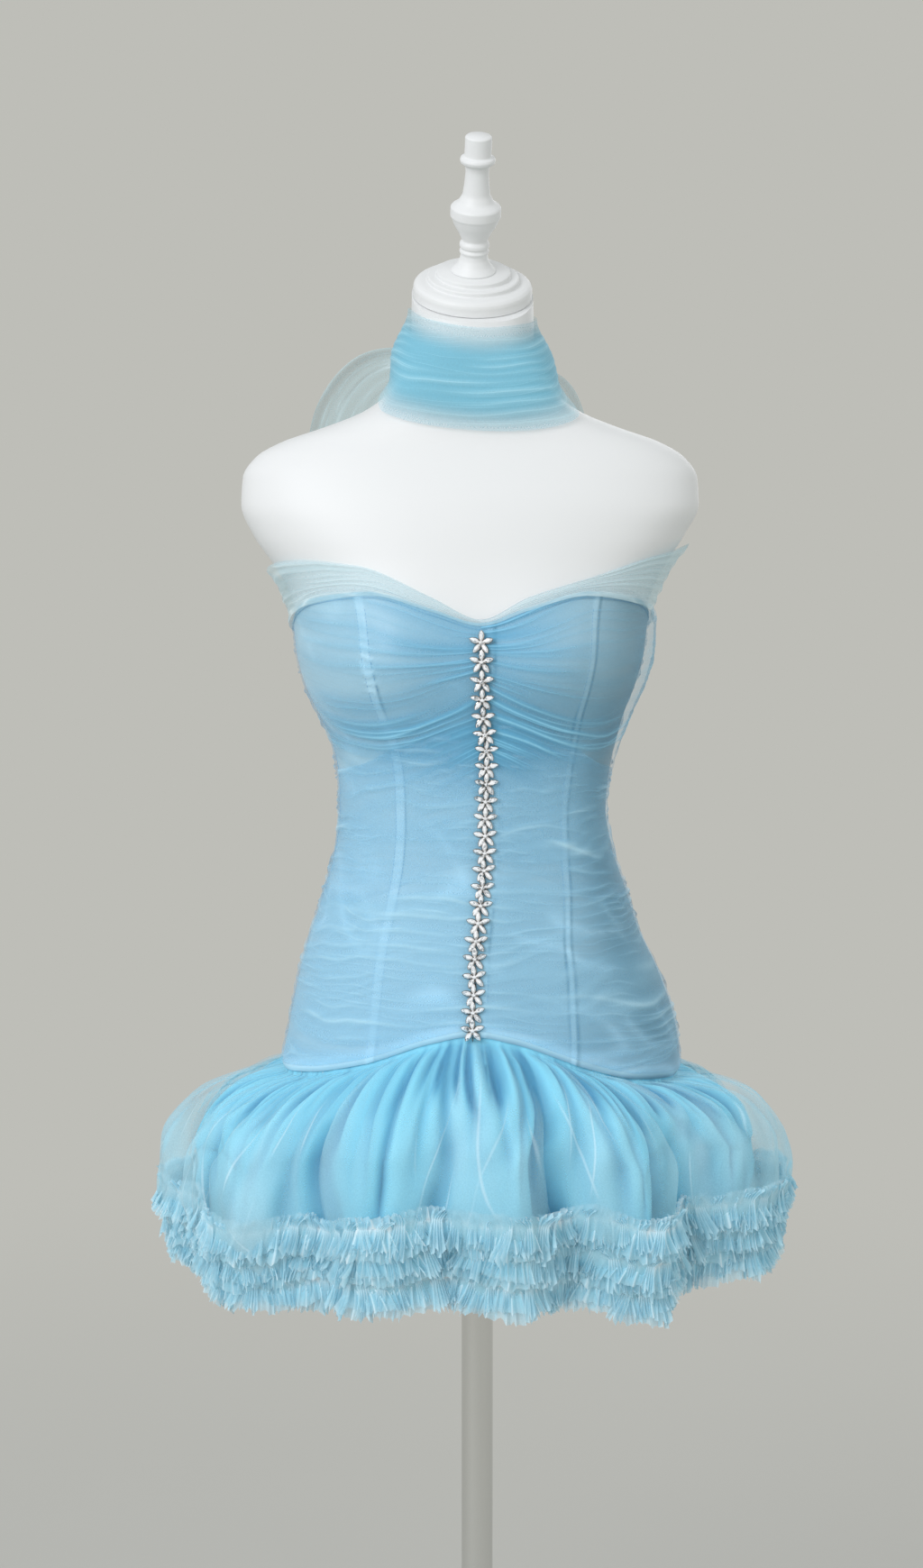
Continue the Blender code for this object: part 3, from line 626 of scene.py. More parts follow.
def tulle(name, shade, crest, clear, dense, line=0.5, width=0.12, slub=0.10):
    """Sheer nylon net: thicker and paler where it folds on itself, with a faint uneven weave, and paler
    along its crests, partly a painted highlight.
    """
    made, tree, shader = shader_of(name, Roughness=0.85, Sheen_Weight=0.25, Sheen_Roughness=0.4)
    fold_and_shading = add_node(tree, "ShaderNodeAttribute", attribute_name="fold_and_shading").outputs["Fac"]
    cover = add_node(tree, "ShaderNodeAttribute", attribute_name="cover").outputs["Fac"]
    lines = crest_lines(tree, width)
    place = add_node(tree, "ShaderNodeTexCoord").outputs["Object"]
    inputs = {"Vector": place, "Scale": SLUBS / MM, "Detail": 2.0}
    weave = add_node(tree, "ShaderNodeTexNoise", inputs)
    inputs = {0: lines, 1: line, 2: fold_and_shading}
    pale = add_node(tree, "ShaderNodeMath", inputs, operation="MULTIPLY_ADD", use_clamp=True)
    inputs = {"Factor": pale.outputs[0], 6: colour(shade), 7: colour(crest)}
    shading = add_node(tree, "ShaderNodeMix", inputs, data_type="RGBA")
    tree.links.new(shading.outputs[2], shader.inputs["Base Color"])
    laid = add_node(tree, "ShaderNodeMapRange", {"Value": cover, "To Min": clear, "To Max": dense})
    inputs = {0: lines, 1: 0.5 * line, 2: laid.outputs[0]}
    thick = add_node(tree, "ShaderNodeMath", inputs, operation="MULTIPLY_ADD")
    inputs = {"Value": weave.outputs["Fac"], "To Min": -slub, "To Max": slub}
    grain = add_node(tree, "ShaderNodeMapRange", inputs)
    inputs = {0: thick.outputs[0], 1: grain.outputs["Result"]}
    alpha = add_node(tree, "ShaderNodeMath", inputs, operation="ADD", use_clamp=True)
    tree.links.new(alpha.outputs[0], shader.inputs["Alpha"])
    return made


def satin(name, shade, light, roughness):
    """Polyester satin: smooth, with a soft gloss and a very fine weave. Its colour runs between the two
    given colours by the piece's fold_and_shading mark, which holds painted light and shade.
    """
    made, tree, shader = shader_of(name, Roughness=roughness, Sheen_Weight=0.15)
    # Painted light and shade: the marked value picks the colour between the shade colour and the light
    # colour.
    fold_and_shading = add_node(tree, "ShaderNodeAttribute", attribute_name="fold_and_shading").outputs["Fac"]
    inputs = {"Factor": fold_and_shading, 6: colour(shade), 7: colour(light)}
    shading = add_node(tree, "ShaderNodeMix", inputs, data_type="RGBA")
    tree.links.new(shading.outputs[2], shader.inputs["Base Color"])
    place = add_node(tree, "ShaderNodeTexCoord").outputs["Object"]
    inputs = {"Vector": place, "Scale": SATIN_THREADS / MM, "Detail": 1.0}
    weave = add_node(tree, "ShaderNodeTexNoise", inputs)
    inputs = {"Height": weave.outputs["Fac"], "Strength": 0.12, "Distance": 0.3 * MM}
    bump = add_node(tree, "ShaderNodeBump", inputs)
    tree.links.new(bump.outputs["Normal"], shader.inputs["Normal"])
    return made


def lacquer(name, shade, roughness):
    """Smooth white lacquer over fibreglass or turned wood, with the faintest orange peel."""
    made, tree, shader = shader_of(name, Roughness=roughness, Coat_Weight=0.1, Coat_Roughness=0.4)
    shader.inputs["Base Color"].default_value = colour(shade)
    place = add_node(tree, "ShaderNodeTexCoord").outputs["Object"]
    inputs = {"Vector": place, "Scale": PEEL_DIMPLES / MM, "Detail": 1.0}
    peel = add_node(tree, "ShaderNodeTexNoise", inputs)
    inputs = {"Height": peel.outputs["Fac"], "Strength": 0.04, "Distance": MM}
    bump = add_node(tree, "ShaderNodeBump", inputs)
    tree.links.new(bump.outputs["Normal"], shader.inputs["Normal"])
    return made


def metal(name, shade, roughness, metallic=1.0):
    """Polished or coated metal with faint handling marks in its gloss."""
    made, tree, shader = shader_of(name, Metallic=metallic)
    shader.inputs["Base Color"].default_value = colour(shade)
    place = add_node(tree, "ShaderNodeTexCoord").outputs["Object"]
    inputs = {"Vector": place, "Scale": HANDLING_MARKS / MM, "Detail": 3.0}
    marks = add_node(tree, "ShaderNodeTexNoise", inputs)
    inputs = {"Value": marks.outputs["Fac"], "To Min": roughness * 0.8, "To Max": roughness * 1.3}
    gloss = add_node(tree, "ShaderNodeMapRange", inputs)
    tree.links.new(gloss.outputs["Result"], shader.inputs["Roughness"])
    return made


def crystal(name, dim, bright):
    """Clear faceted stone over a bright foil, with painted glints: cells of it are painted dark or
    flashing white in place of reflections from its facets.
    """
    made, tree, shader = shader_of(name, Roughness=0.06, Coat_Weight=0.8, IOR=1.6)
    place = add_node(tree, "ShaderNodeTexCoord").outputs["Object"]
    inputs = {"Vector": place, "Scale": STONE_GLINTS / MM}
    # Painted glints: cells in the stone are painted dark or white.
    cut = add_node(tree, "ShaderNodeTexVoronoi", inputs)
    inputs = {"Value": cut.outputs["Color"], "From Min": 0.10, "From Max": 0.36}
    glint = add_node(tree, "ShaderNodeMapRange", inputs)
    inputs = {"Factor": glint.outputs["Result"], 6: colour(dim), 7: colour(bright)}
    shading = add_node(tree, "ShaderNodeMix", inputs, data_type="RGBA")
    tree.links.new(shading.outputs[2], shader.inputs["Base Color"])
    return made


# Settings that a user would change


def length(name, text, default, low, high):
    return FloatProperty(
        name=name, description=text, default=default, min=low, max=high, unit="LENGTH", precision=4
    )


def swatch(name, text, default):
    return FloatVectorProperty(
        name=name, description=text, default=default, size=4, min=0, max=1, subtype="COLOR"
    )


def watts(name, text, default):
    return FloatProperty(name=name, description=text, default=default, min=0.0, unit="POWER")


class DRESS_PG_bodice(PropertyGroup):
    ruche_pitch: length("Ruche Pitch", "Mean spacing of the crosswise gathers", 0.0075, 0.003, 0.03)
    ruche_height: length("Ruche Height", "How far a gather stands up", 0.0014, 0.0, 0.006)
    swag_pitch: length("Swag Pitch", "Spacing of the drapes' folds towards the side", 0.0105, 0.004, 0.04)
    swag_height: length("Swag Height", "How far a fold over the cup stands up", 0.0015, 0.0, 0.006)


class DRESS_PG_skirt(PropertyGroup):
    gathers: IntProperty(
        name="Gathers", description="Gathers round the waist seam", default=78, min=20, max=240
    )
    gather_depth: length("Gather Depth", "Depth of the gathers below the seam", 0.0060, 0.0, 0.02)
    tulle_stand: length("Tulle Stand", "How far the sheer layer puffs out", 0.0060, 0.0, 0.03)
    pleat_pitch: length("Pleat Pitch", "Spacing of the ruffle's pleats", 0.0054, 0.003, 0.02)
    fan_pitch: length("Fan Pitch", "Spacing of the loose tufts along a ruffle", 0.0150, 0.005, 0.05)
    pleat_lean: FloatProperty(
        name="Pleat Lean",
        description="How far a pleat turns away from its neighbours",
        default=math.radians(20),
        min=0.0,
        max=math.radians(60),
        subtype="ANGLE",
    )
    seed: IntProperty(name="Seed", description="Pattern of the pleats", default=7, min=0, max=99)


class DRESS_PG_stage(PropertyGroup):
    key_power: watts("Key Light", "Power of the soft main light", 53.0)
    fill_power: watts("Fill Light", "Power of the light opposite", 9.0)
    back_power: watts("Back Light", "Power of the light behind", 14.0)
    room_light: FloatProperty(
        name="Room Light", description="Strength of the light from all round", default=0.74, min=0.0
    )
    wall: swatch("Wall", "Colour of the backdrop as it shows", colour("#bebeb8"))
    floor: swatch("Floor", "Colour of the floor's paint", colour("#bcbcb6"))


# The form and its stand

FORM_CLEAR = 0.3 * MM  # gap where two pieces of the form meet


def turned_piece(name, profile, place, sides, material):
    """A turned solid with softened corners: profile holds (distance along the axis, radius)."""
    spots = np.array(profile, float)
    rows = [spots[0]]
    for before, here, after in zip(spots, spots[1:], spots[2:]):
        reach = min(np.linalg.norm(here - before), np.linalg.norm(after - here)) * 0.3
        first = here + (before - here) / max(np.linalg.norm(before - here), 1e-9) * reach
        last = here + (after - here) / max(np.linalg.norm(after - here), 1e-9) * reach
        for t in (0.0, 0.25, 0.5, 0.75, 1.0):
            rows.append(first * (1 - t) ** 2 + here * 2 * t * (1 - t) + last * t * t)
    rows.append(spots[-1])
    turn = np.linspace(0, 2 * np.pi, sides, endpoint=False)
    points = []
    for along, radius in rows:
        for a in turn:
            points.append(place @ Vector((radius * math.cos(a), radius * math.sin(a), along)))
    faces = [list(f) for f in grid_faces(len(rows), sides, ring=True)]
    faces.append(list(range(sides))[::-1])
    faces.append(list(range(len(points) - sides, len(points))))
    made = mesh_piece(name, points, faces, material)
    made.data.set_sharp_from_angle(angle=math.radians(50))
    return made


def leaning_axis():
    """From the finial's top, looking down the axis of the finial, the cap and the neck's top."""
    up = Vector((math.sin(CAP_LEAN), -math.sin(CAP_TILT), math.cos(CAP_TILT))).normalized()
    turn = Vector((0, 0, 1)).rotation_difference(-up).to_matrix().to_4x4()
    return Matrix.Translation(NECK_TOP + up * FINIAL_LENGTH) @ turn


class DRESS_OT_form(Operator):
    """Build the limbless form, its neck cap and finial, and the stand"""

    bl_idname = "dress.form"
    bl_label = "Form and Stand"

    def execute(self, context):
        white = lacquer("white_lacquer", "#e6e8e8", 0.5)
        columns = 144
        angle = np.linspace(-180, 180, columns, endpoint=False)
        a, h = np.meshgrid(angle, np.linspace(FIGURE.keys[0], NECK_BEND_START, 180))
        rings = figure_points(a, h, FORM_CUP_DEPTH)
        top = figure_points(angle, np.full(columns, FIGURE.keys[-1]), FORM_CUP_DEPTH)
        slope = (top[:, 1] - NECK_TOP.y) * math.tan(CAP_TILT)
        slope = slope - (top[:, 0] - NECK_TOP.x) * math.tan(CAP_LEAN)
        top[:, 2] = NECK_TOP.z + slope - FORM_CLEAR
        foot = []
        for part in np.linspace(0, 1, 6):
            turn = part * math.pi / 2
            ring = rings[0].copy()
            ring[:, :2] *= 1 - 0.035 * (1 - math.sin(turn))
            ring[:, 2] -= FORM_FOOT_EDGE * math.cos(turn)
            foot.append(ring)
        shelf = foot[0].copy()
        shelf[:, :2] *= 0.04
        neck = [rings[-1] * (1 - t) + top * t for t in np.linspace(0, 1, 14)[1:]]
        inside = neck[-1] * 0.05 + neck[-1].mean(axis=0) * 0.95
        grid = np.array([shelf, *foot[:-1], *rings, *neck, inside])
        faces = [list(f) for f in grid_faces(*grid.shape[:2], ring=True)]
        faces.append(list(range(columns))[::-1])
        faces.append(list(range(grid.shape[0] * columns - columns, grid.shape[0] * columns)))
        torso = mesh_piece("torso", grid, faces, white)
        torso.data.set_sharp_from_angle(angle=math.radians(50))
        finished(torso, "form_white", "form_torso")
        place = leaning_axis()
        for name, node, profile in (
            ("finial", "form_finial", FINIAL_PROFILE),
            ("neck_cap", "form_neck_cap", CAP_PROFILE),
        ):
            scaled = [(along * MM, radius * MM) for along, radius in profile]
            finished(turned_piece(name, scaled, place, 96, white), "form_white", node)
        upright = Matrix.Identity(4)
        pole_top = float(FIGURE.keys[0]) - FORM_FOOT_EDGE - FORM_CLEAR
        pole = ((BOSS_TOP + FORM_CLEAR, POLE_RADIUS), (pole_top, POLE_RADIUS))
        chrome = metal("chromed_steel", "#dededc", 0.16)
        finished(turned_piece("pole", pole, upright, 96, chrome), "pole_chrome", "stand_pole")
        base = (
            (0, BASE_RADIUS - BASE_EDGE),
            (BASE_EDGE, BASE_RADIUS),
            (BASE_THICK - BASE_EDGE, BASE_RADIUS),
            (BASE_THICK, BASE_RADIUS - BASE_EDGE),
            (BASE_THICK, BOSS_RADIUS),
            (BOSS_TOP - BASE_EDGE, BOSS_RADIUS),
            (BOSS_TOP, BOSS_RADIUS - BASE_EDGE),
        )
        plate = metal("powder_coated_plate", "#d3d3d1", 0.42, metallic=0.0)
        finished(turned_piece("base", base, upright, 160, plate), "base_metal", "stand_base")
        return {"FINISHED"}


# The bodice

BODY_RADIUS, CHEST_RADIUS = 0.12, 0.13  # rough sizes that turn angles into metres


def bodice_domain(first, last, low, high, columns, rows):
    """Grids of column, level, angle and height over a piece of the bodice."""
    column, level = np.meshgrid(
        np.linspace(first, last, columns + 1), np.linspace(low, high, rows + 1)
    )
    height = bodice_height(column, level)
    return column, level, seam_angle(column, height), height


def from_seam(angle, height, column):
    """Signed metres from the long seam at that column."""
    return (angle - seam_angle(column, height)) * metres_per_degree(angle, height)


# Boned channels of the corset: the column of the seam, offset and half width, in mm.
CHANNELS = ((-9, 0, 4), (-4, 3, 5), (0, 8, 4), (4, -3, 4), (9, 0, 4), (14, 0, 4), (22, 0, 4))
BUCKLE_SEAM, BUCKLE_LOW, BUCKLE_HIGH = -4, 1.212, 1.292


def corset_relief(angle, height, column, level):
    """How far the satin stands over its plain face, and its painted light and shade: painted highlights
    on the tapes, creases, buckles and hip roll, and painted shade in the sunk seams, in the grooves
    beside the tapes, along the hip and neckline edges and over the wearer's left front and side.
    """
    across = np.radians(angle) * BODY_RADIUS
    edge = bodice_height(column, 0.0)
    brim = bodice_height(column, 2.0)
    relief = np.zeros(angle.shape)
    light = np.zeros(angle.shape)
    for seam, offset, half in CHANNELS:
        away = from_seam(angle, height, seam) - offset * MM
        tape = 1 - ramp(np.abs(away), half * MM * 0.75, half * MM)
        sunk = np.exp(-((away / (0.5 * MM)) ** 2)) if offset == 0 else 0.0
        relief += 0.35 * MM * tape - 0.4 * MM * sunk
        light += 0.20 * tape - 0.8 * sunk
        for side in (-1, 1):
            line = np.exp(-(((away - side * half * MM * 0.8) / (0.45 * MM)) ** 2))
            relief -= 0.22 * MM * line
            light -= 0.75 * line
    pull = Noise(11).at(across / 0.034 + (height - 1.0) / 0.05, (height - 0.9) / 0.03)
    slack = Noise(12).at(across / 0.05 - height / 0.06, height / 0.045)
    low_down = 0.35 + 0.65 * (1 - ramp(level, 0.1, 0.9))
    relief += 0.55 * MM * creases(pull * 1.6, 2.0) * low_down * ramp(slack, -0.4, 0.6)
    light += 0.5 * creases(pull * 1.6, 3.0) * low_down * ramp(slack, -0.4, 0.6)
    away = from_seam(angle, height, BUCKLE_SEAM) - 3 * MM
    beat = (height - BUCKLE_LOW) / 0.0096 + 0.7 * Noise(13).at(away / 0.006, height / 0.012)
    window = bell(height, (BUCKLE_LOW + BUCKLE_HIGH) / 2, (BUCKLE_HIGH - BUCKLE_LOW) / 2)
    buckle = np.sin(2 * np.pi * beat + away / 0.0022) * np.exp(-((away / (6.5 * MM)) ** 2)) * window
    relief += 1.0 * MM * buckle
    light += 0.9 * np.maximum(buckle, 0) ** 1.5
    uneven = 0.6 + 0.4 * Noise(14).at(across / 0.022, 0.5)
    roll = bell(height - edge, 6.5 * MM, 8.0 * MM) * uneven
    relief += 1.0 * MM * roll - 1.4 * MM * (1 - ramp(height - edge, 0.0, 2.2 * MM))
    light += 0.70 * roll - 0.2 * (1 - ramp(height - edge, 0.0, 1.6 * MM))
    turn_in = ramp(brim - height, 0.0, 1.4 * MM)
    relief -= 1.2 * MM * (1 - turn_in)
    light -= 0.3 * bell(brim - height, 5.0 * MM, 1.0 * MM)
    low_cup = 1 - bell(height, 1.275, 0.06)
    # Painted shade: the wearer's left front and side are painted darker, less on the cup and fading out
    # towards the back.
    turned = 0.28 * ramp(column, -0.3, 1.5) * low_cup + 0.72 * ramp(column, 2.8, 6.5)
    turned = turned * (1 - ramp(column, 14, 18))
    return relief, np.clip(0.68 + 0.8 * light - 0.56 * turned, 0, 1)


# Each panel: name, first and last column, and the flat size of its cut.
CORSET_PANELS = (
    ("corset_front", 0, 4, (0.088, 0.33)),
    ("corset_side_front", 4, 9, (0.105, 0.36)),
    ("corset_side_back", 9, 14, (0.095, 0.37)),
    ("corset_back", 14, 18, (0.080, 0.35)),
)


class DRESS_OT_corset(Operator):
    """Build the boned satin corset and its closed back zip"""

    bl_idname = "dress.corset"
    bl_label = "Satin Corset"

    def execute(self, context):
        # The satin's two colours are the ends of its painted shade and its painted highlight.
        cloth = satin("pale_blue_satin", "#588294", "#caf0ff", 0.38)
        for stem, first, last, cut in CORSET_PANELS:
            for side, low, high in (("left", first, last), ("right", -last, -first)):
                name = f"{stem}_{side}"
                column, level, angle, height = bodice_domain(low, high, 0, 2, 9 * (last - first), 150)
                relief, light = corset_relief(angle, height, column, level)
                points = off_skin(angle, height, CORSET_OUT + relief)
                panel = finished(sheet_piece(name + "_satin", points, cloth, light), "corset_satin", name)
        column, _, angle, height = bodice_domain(REAR - 0.16, REAR + 0.16, 0, 2, 8, 150)
        beat = np.sin(2 * np.pi * height / 0.0022)
        middle = np.abs(column - REAR) < 0.05
        points = off_skin(angle, height, CORSET_OUT + 0.3 * MM - 0.5 * MM * middle)
        light = np.clip(0.35 + 0.2 * beat * middle, 0, 1)
        finished(sheet_piece("zip_closed", points, cloth, light), "corset_satin", "back_zip")
        return {"FINISHED"}


def ruches(angle, height, pitch, seed):
    """Uneven crosswise gathers: how high they stand, how dense the net is and its crests."""
    across = np.radians(angle) * BODY_RADIUS
    rise = height + 0.05 * across * np.sin(height * 60)
    wide, *wide_line = streaks(rise / (pitch * 1.7), across / 0.050, seed)
    fine, *fine_line = streaks(rise / pitch + across * 7, across / 0.034, seed + 10)
    slant, *_ = streaks(rise / (pitch * 1.3) - across * 16, across / 0.040, seed + 20)
    stand = 0.55 * wide + 0.40 * fine + 0.40 * slant
    patch = Noise(seed + 4).at(across / 0.09, height / 0.016)
    dense = np.clip(0.26 + 0.34 * patch + 0.26 * wide + 0.22 * slant, 0, 1)
    return stand, dense, (wide_line, fine_line)


class DRESS_OT_overlay(Operator):
    """Build the ruched tulle over the corset"""

    bl_idname = "dress.overlay"
    bl_label = "Ruched Tulle"

    def execute(self, context):
        size = context.scene.dress_bodice
        net = tulle("aqua_tulle", "#7acaf2", "#c2eeff", 0.14, 0.60, line=0.26, width=0.20)
        pieces = (
            ("overlay_front_left", 0, SIDE_SEAM, 1.06, (0.19, 0.32)),
            ("overlay_front_right", -SIDE_SEAM, 0, 1.06, (0.19, 0.32)),
            ("overlay_back_left", SIDE_SEAM, REAR, 2.0, (0.18, 0.46)),
            ("overlay_back_right", REAR, 2 * REAR - SIDE_SEAM, 2.0, (0.18, 0.46)),
        )
        for index, (name, first, last, top, cut) in enumerate(pieces):
            column, _, angle, height = bodice_domain(first, last, 0.02, top, 72, int(165 * top))
            stand, dense, lines = ruches(angle, height, size.ruche_pitch, 20 + 7 * (index // 2))
            at_side = bell(np.abs(nominal_angle(column)), 90, 45)
            lift = size.ruche_height * stand * (1 + 0.9 * at_side)
            tuck = ramp(height - bodice_height(column, 0.0), 1 * MM, 9 * MM)
            points = off_skin(angle, height, CORSET_OUT + 1.3 * MM + lift * tuck)
            made = sheet_piece(name + "_net", points, net, 0.8 * dense, cover=dense, lines=lines)
            piece = finished(made, "body_tulle", name)
        return {"FINISHED"}


# The folds of each drape are gathered at the centre front round this height and fan out.
SWAG_FOCUS, SWAG_UNDER, SWAG_RISE = 1.256, 1.206, 0.0835
SWAG_SQUEEZE, SWAG_SAG = 0.40, 17 * MM


def swag(column, height, size, seed):
    """Folds over one cup: how high they stand, how dense the net is and their crests."""
    from_front = np.abs(column) / SIDE_SEAM
    squeeze = SWAG_SQUEEZE + 0.38 * ramp(SWAG_FOCUS - height, 0.0, 0.04)
    spread = squeeze + (1 - squeeze) * ramp(from_front, -0.05, 0.50)
    high = ramp(height, SWAG_FOCUS, SWAG_FOCUS + 0.045)
    sag = SWAG_SAG * np.sin(np.pi * np.clip(from_front, 0, 1)) * (1 - 0.7 * high)
    phase = (height - SWAG_FOCUS + sag) / (spread * size.swag_pitch)
    folds, *fold_line = streaks(phase, from_front * 2.0, seed)
    fine, *fine_line = streaks(phase * 1.9 + 3, from_front * 3.2, seed + 10)
    broad, *_ = streaks(phase * 0.5 + 1, from_front * 1.6, seed + 20)
    return 0.65 * folds + 0.4 * fine, 0.5 * folds + 0.25 * fine + 0.6 * broad, (fold_line, fine_line)


class DRESS_OT_drapes(Operator):
    """Build the folded tulle over each cup"""

    bl_idname = "dress.drapes"
    bl_label = "Bust Drapes"

    def execute(self, context):
        size = context.scene.dress_bodice
        net = tulle("folded_tulle", "#5cb0d8", "#aae6fb", 0.06, 0.76, line=0.46, width=0.18)
        sides = (("left", 0, SIDE_SEAM, 51), ("right", -SIDE_SEAM, 0, 61))
        for side, first, last, seed in sides:
            column, level, angle, height = bodice_domain(first, last, 0.56, 2.02, 90, 210)
            stand, doubled, lines = swag(column, height, size, seed)
            from_front = np.abs(column) / SIDE_SEAM
            gathered = np.exp(-((from_front / 0.30) ** 2))
            under = bell(height, SWAG_UNDER - 3 * MM, 46 * MM) * (0.45 + 0.55 * (1 - from_front))
            fade = ramp((height - SWAG_UNDER) / SWAG_RISE, -0.75, -0.1) * ramp(level, 0.56, 0.70)
            stand_off = bell(nominal_angle(column), 84, 26) * bell(level, 1.72, 0.8)
            lift = size.swag_height * stand * (0.55 + 0.45 * fade)
            out = CORSET_OUT + 1.7 * MM + lift + 7 * MM * stand_off
            over = ramp(bodice_height(column, 2.0) - height, 0.0, 6 * MM)
            out = out - 1.2 * MM * (1 - over)
            dense = 0.02 + 0.40 * gathered + 0.28 * under + (0.20 + 0.7 * (under + gathered)) * doubled
            dense = np.clip(dense * fade + 0.55 * stand_off, 0, 1)
            shown = (0.40 + 0.6 * np.clip(gathered + under, 0, 1)) * fade
            lines = [(place, strength * shown) for place, strength in lines]
            fold_and_shading = 0.10 + 0.25 * doubled * (1 - gathered) + 0.35 * stand_off
            points = off_skin(angle, height, out)
            made = sheet_piece(f"bust_net_{side}", points, net, fold_and_shading, cover=dense, lines=lines)
            piece = finished(made, "body_tulle", f"bust_drape_{side}")
        return {"FINISHED"}


class DRESS_OT_band(Operator):
    """Build the sheer folded band above the neckline"""

    bl_idname = "dress.band"
    bl_label = "Sheer Neck Band"

    def execute(self, context):
        net = tulle("pale_tulle", "#a8dcea", "#def4f8", 0.24, 0.66, line=0.24, width=0.2, slub=0.05)
        pieces = (
            ("neck_band_left", 0, SIDE_SEAM, (0.19, 0.045)),
            ("neck_band_right", -SIDE_SEAM, 0, (0.19, 0.045)),
            ("neck_band_back", SIDE_SEAM, 2 * REAR - SIDE_SEAM, (0.36, 0.068)),
        )
        for index, (name, first, last, cut) in enumerate(pieces):
            column, level, angle, height = bodice_domain(first, last, 1.97, 3.0, 10 * (last - first), 56)
            part = level - 2.0
            across = np.radians(angle) * CHEST_RADIUS
            sway = Noise(70 + index).at(across / 0.05, level * 2)
            folds, *line = streaks(part * 6 + 0.5 * sway, across / 0.05, 75 + index)
            nominal = nominal_angle(column)
            arm = bell(np.abs(nominal), 88, 26)
            pleats = np.sin(2 * np.pi * (part * 5 + 0.6 * sway)) * arm
            stand = 0.8 * MM * folds + 0.45 * MM * pleats
            at_side = 5 * MM * bell(np.abs(nominal), 92, 50) * np.clip((level - 1.6) / 0.8, 0, 1)
            ease = ramp(level, 1.97, 2.10)
            out = 2.0 * MM + at_side + stand + 3.0 * MM * (1 - ease) + 0.8 * MM * bell(part, 0.93, 0.12)
            hem = 0.35 * bell(part, 0.84, 0.16) - 0.3 * ramp(part, 0.93, 1.0)
            fold_and_shading = np.clip(0.3 * folds + hem + 0.25 * arm + 0.3 * (1 - ease) + 0.12, 0, 1)
            points = off_skin(angle, height, out)
            made = sheet_piece(name + "_net", points, net, fold_and_shading, lines=[line])
            piece = finished(made, "sheer_tulle", name)
        return {"FINISHED"}


# Repeated units


def repeat_tree(name):
    """Nodes that set a unit on every point: X runs along the row, Y stands out from it."""
    tree = bpy.data.node_groups.new(name, "GeometryNodeTree")
    ids = {}
    for label, kind in (
        ("Geometry", "Geometry"),
        ("Units", "Collection"),
        ("Material", "Material"),
        ("Seed", "Int"),
        ("Turn", "Float"),
        ("Smallest", "Float"),
        ("Largest", "Float"),
    ):
        socket = tree.interface.new_socket(label, in_out="INPUT", socket_type=f"NodeSocket{kind}")
        ids[label] = socket.identifier
    tree.interface.new_socket("Geometry", in_out="OUTPUT", socket_type="NodeSocketGeometry")
    given = add_node(tree, "NodeGroupInput").outputs
    stored, turned_to = "GeometryNodeInputNamedAttribute", "FunctionNodeAlignRotationToVector"
    upward = add_node(tree, stored, {"Name": "upward"}, data_type="FLOAT_VECTOR").outputs["Attribute"]
    outward = add_node(tree, stored, {"Name": "outward"}, data_type="FLOAT_VECTOR").outputs["Attribute"]
    stood = add_node(tree, turned_to, {"Vector": upward}, axis="Z").outputs["Rotation"]
    facing = {"Rotation": stood, "Vector": outward}
    faced = add_node(tree, turned_to, facing, axis="Y", pivot_axis="Z").outputs["Rotation"]
    back = add_node(tree, "ShaderNodeMath", {0: given["Turn"], 1: -1.0}, operation="MULTIPLY")
    least = add_node(tree, "ShaderNodeCombineXYZ")
    most = add_node(tree, "ShaderNodeCombineXYZ")
    for axis, share in (("X", 0.7), ("Y", 0.7), ("Z", 1.6)):
        for end, source in ((least, back.outputs["Value"]), (most, given["Turn"])):
            part = add_node(tree, "ShaderNodeMath", {0: source, 1: share}, operation="MULTIPLY")
            tree.links.new(part.outputs["Value"], end.inputs[axis])
    limits = {"Seed": given["Seed"], 0: least.outputs["Vector"], 1: most.outputs["Vector"]}
    swing = add_node(tree, "FunctionNodeRandomValue", limits, data_type="FLOAT_VECTOR")
    limits = {"Seed": given["Seed"], 2: given["Smallest"], 3: given["Largest"]}
    size = add_node(tree, "FunctionNodeRandomValue", limits, data_type="FLOAT")
    choice = {"Collection": given["Units"], "Separate Children": True, "Reset Children": True}
    units = add_node(tree, "GeometryNodeCollectionInfo", choice)
    placing = {
        "Points": given["Geometry"],
        "Instance": units.outputs["Instances"],
        "Pick Instance": True,
        "Rotation": faced,
        "Scale": size.outputs[1],
    }
    placed = add_node(tree, "GeometryNodeInstanceOnPoints", placing).outputs["Instances"]
    turning = {"Instances": placed, "Rotation": swing.outputs[0], "Local Space": True}
    turned = add_node(tree, "GeometryNodeRotateInstances", turning).outputs["Instances"]
    real = add_node(tree, "GeometryNodeRealizeInstances", {"Geometry": turned}).outputs["Geometry"]
    paint = {"Geometry": real, "Material": given["Material"]}
    painted = add_node(tree, "GeometryNodeSetMaterial", paint).outputs["Geometry"]
    out = add_node(tree, "NodeGroupOutput", {"Geometry": painted})
    out.is_active_output = True
    return tree, ids


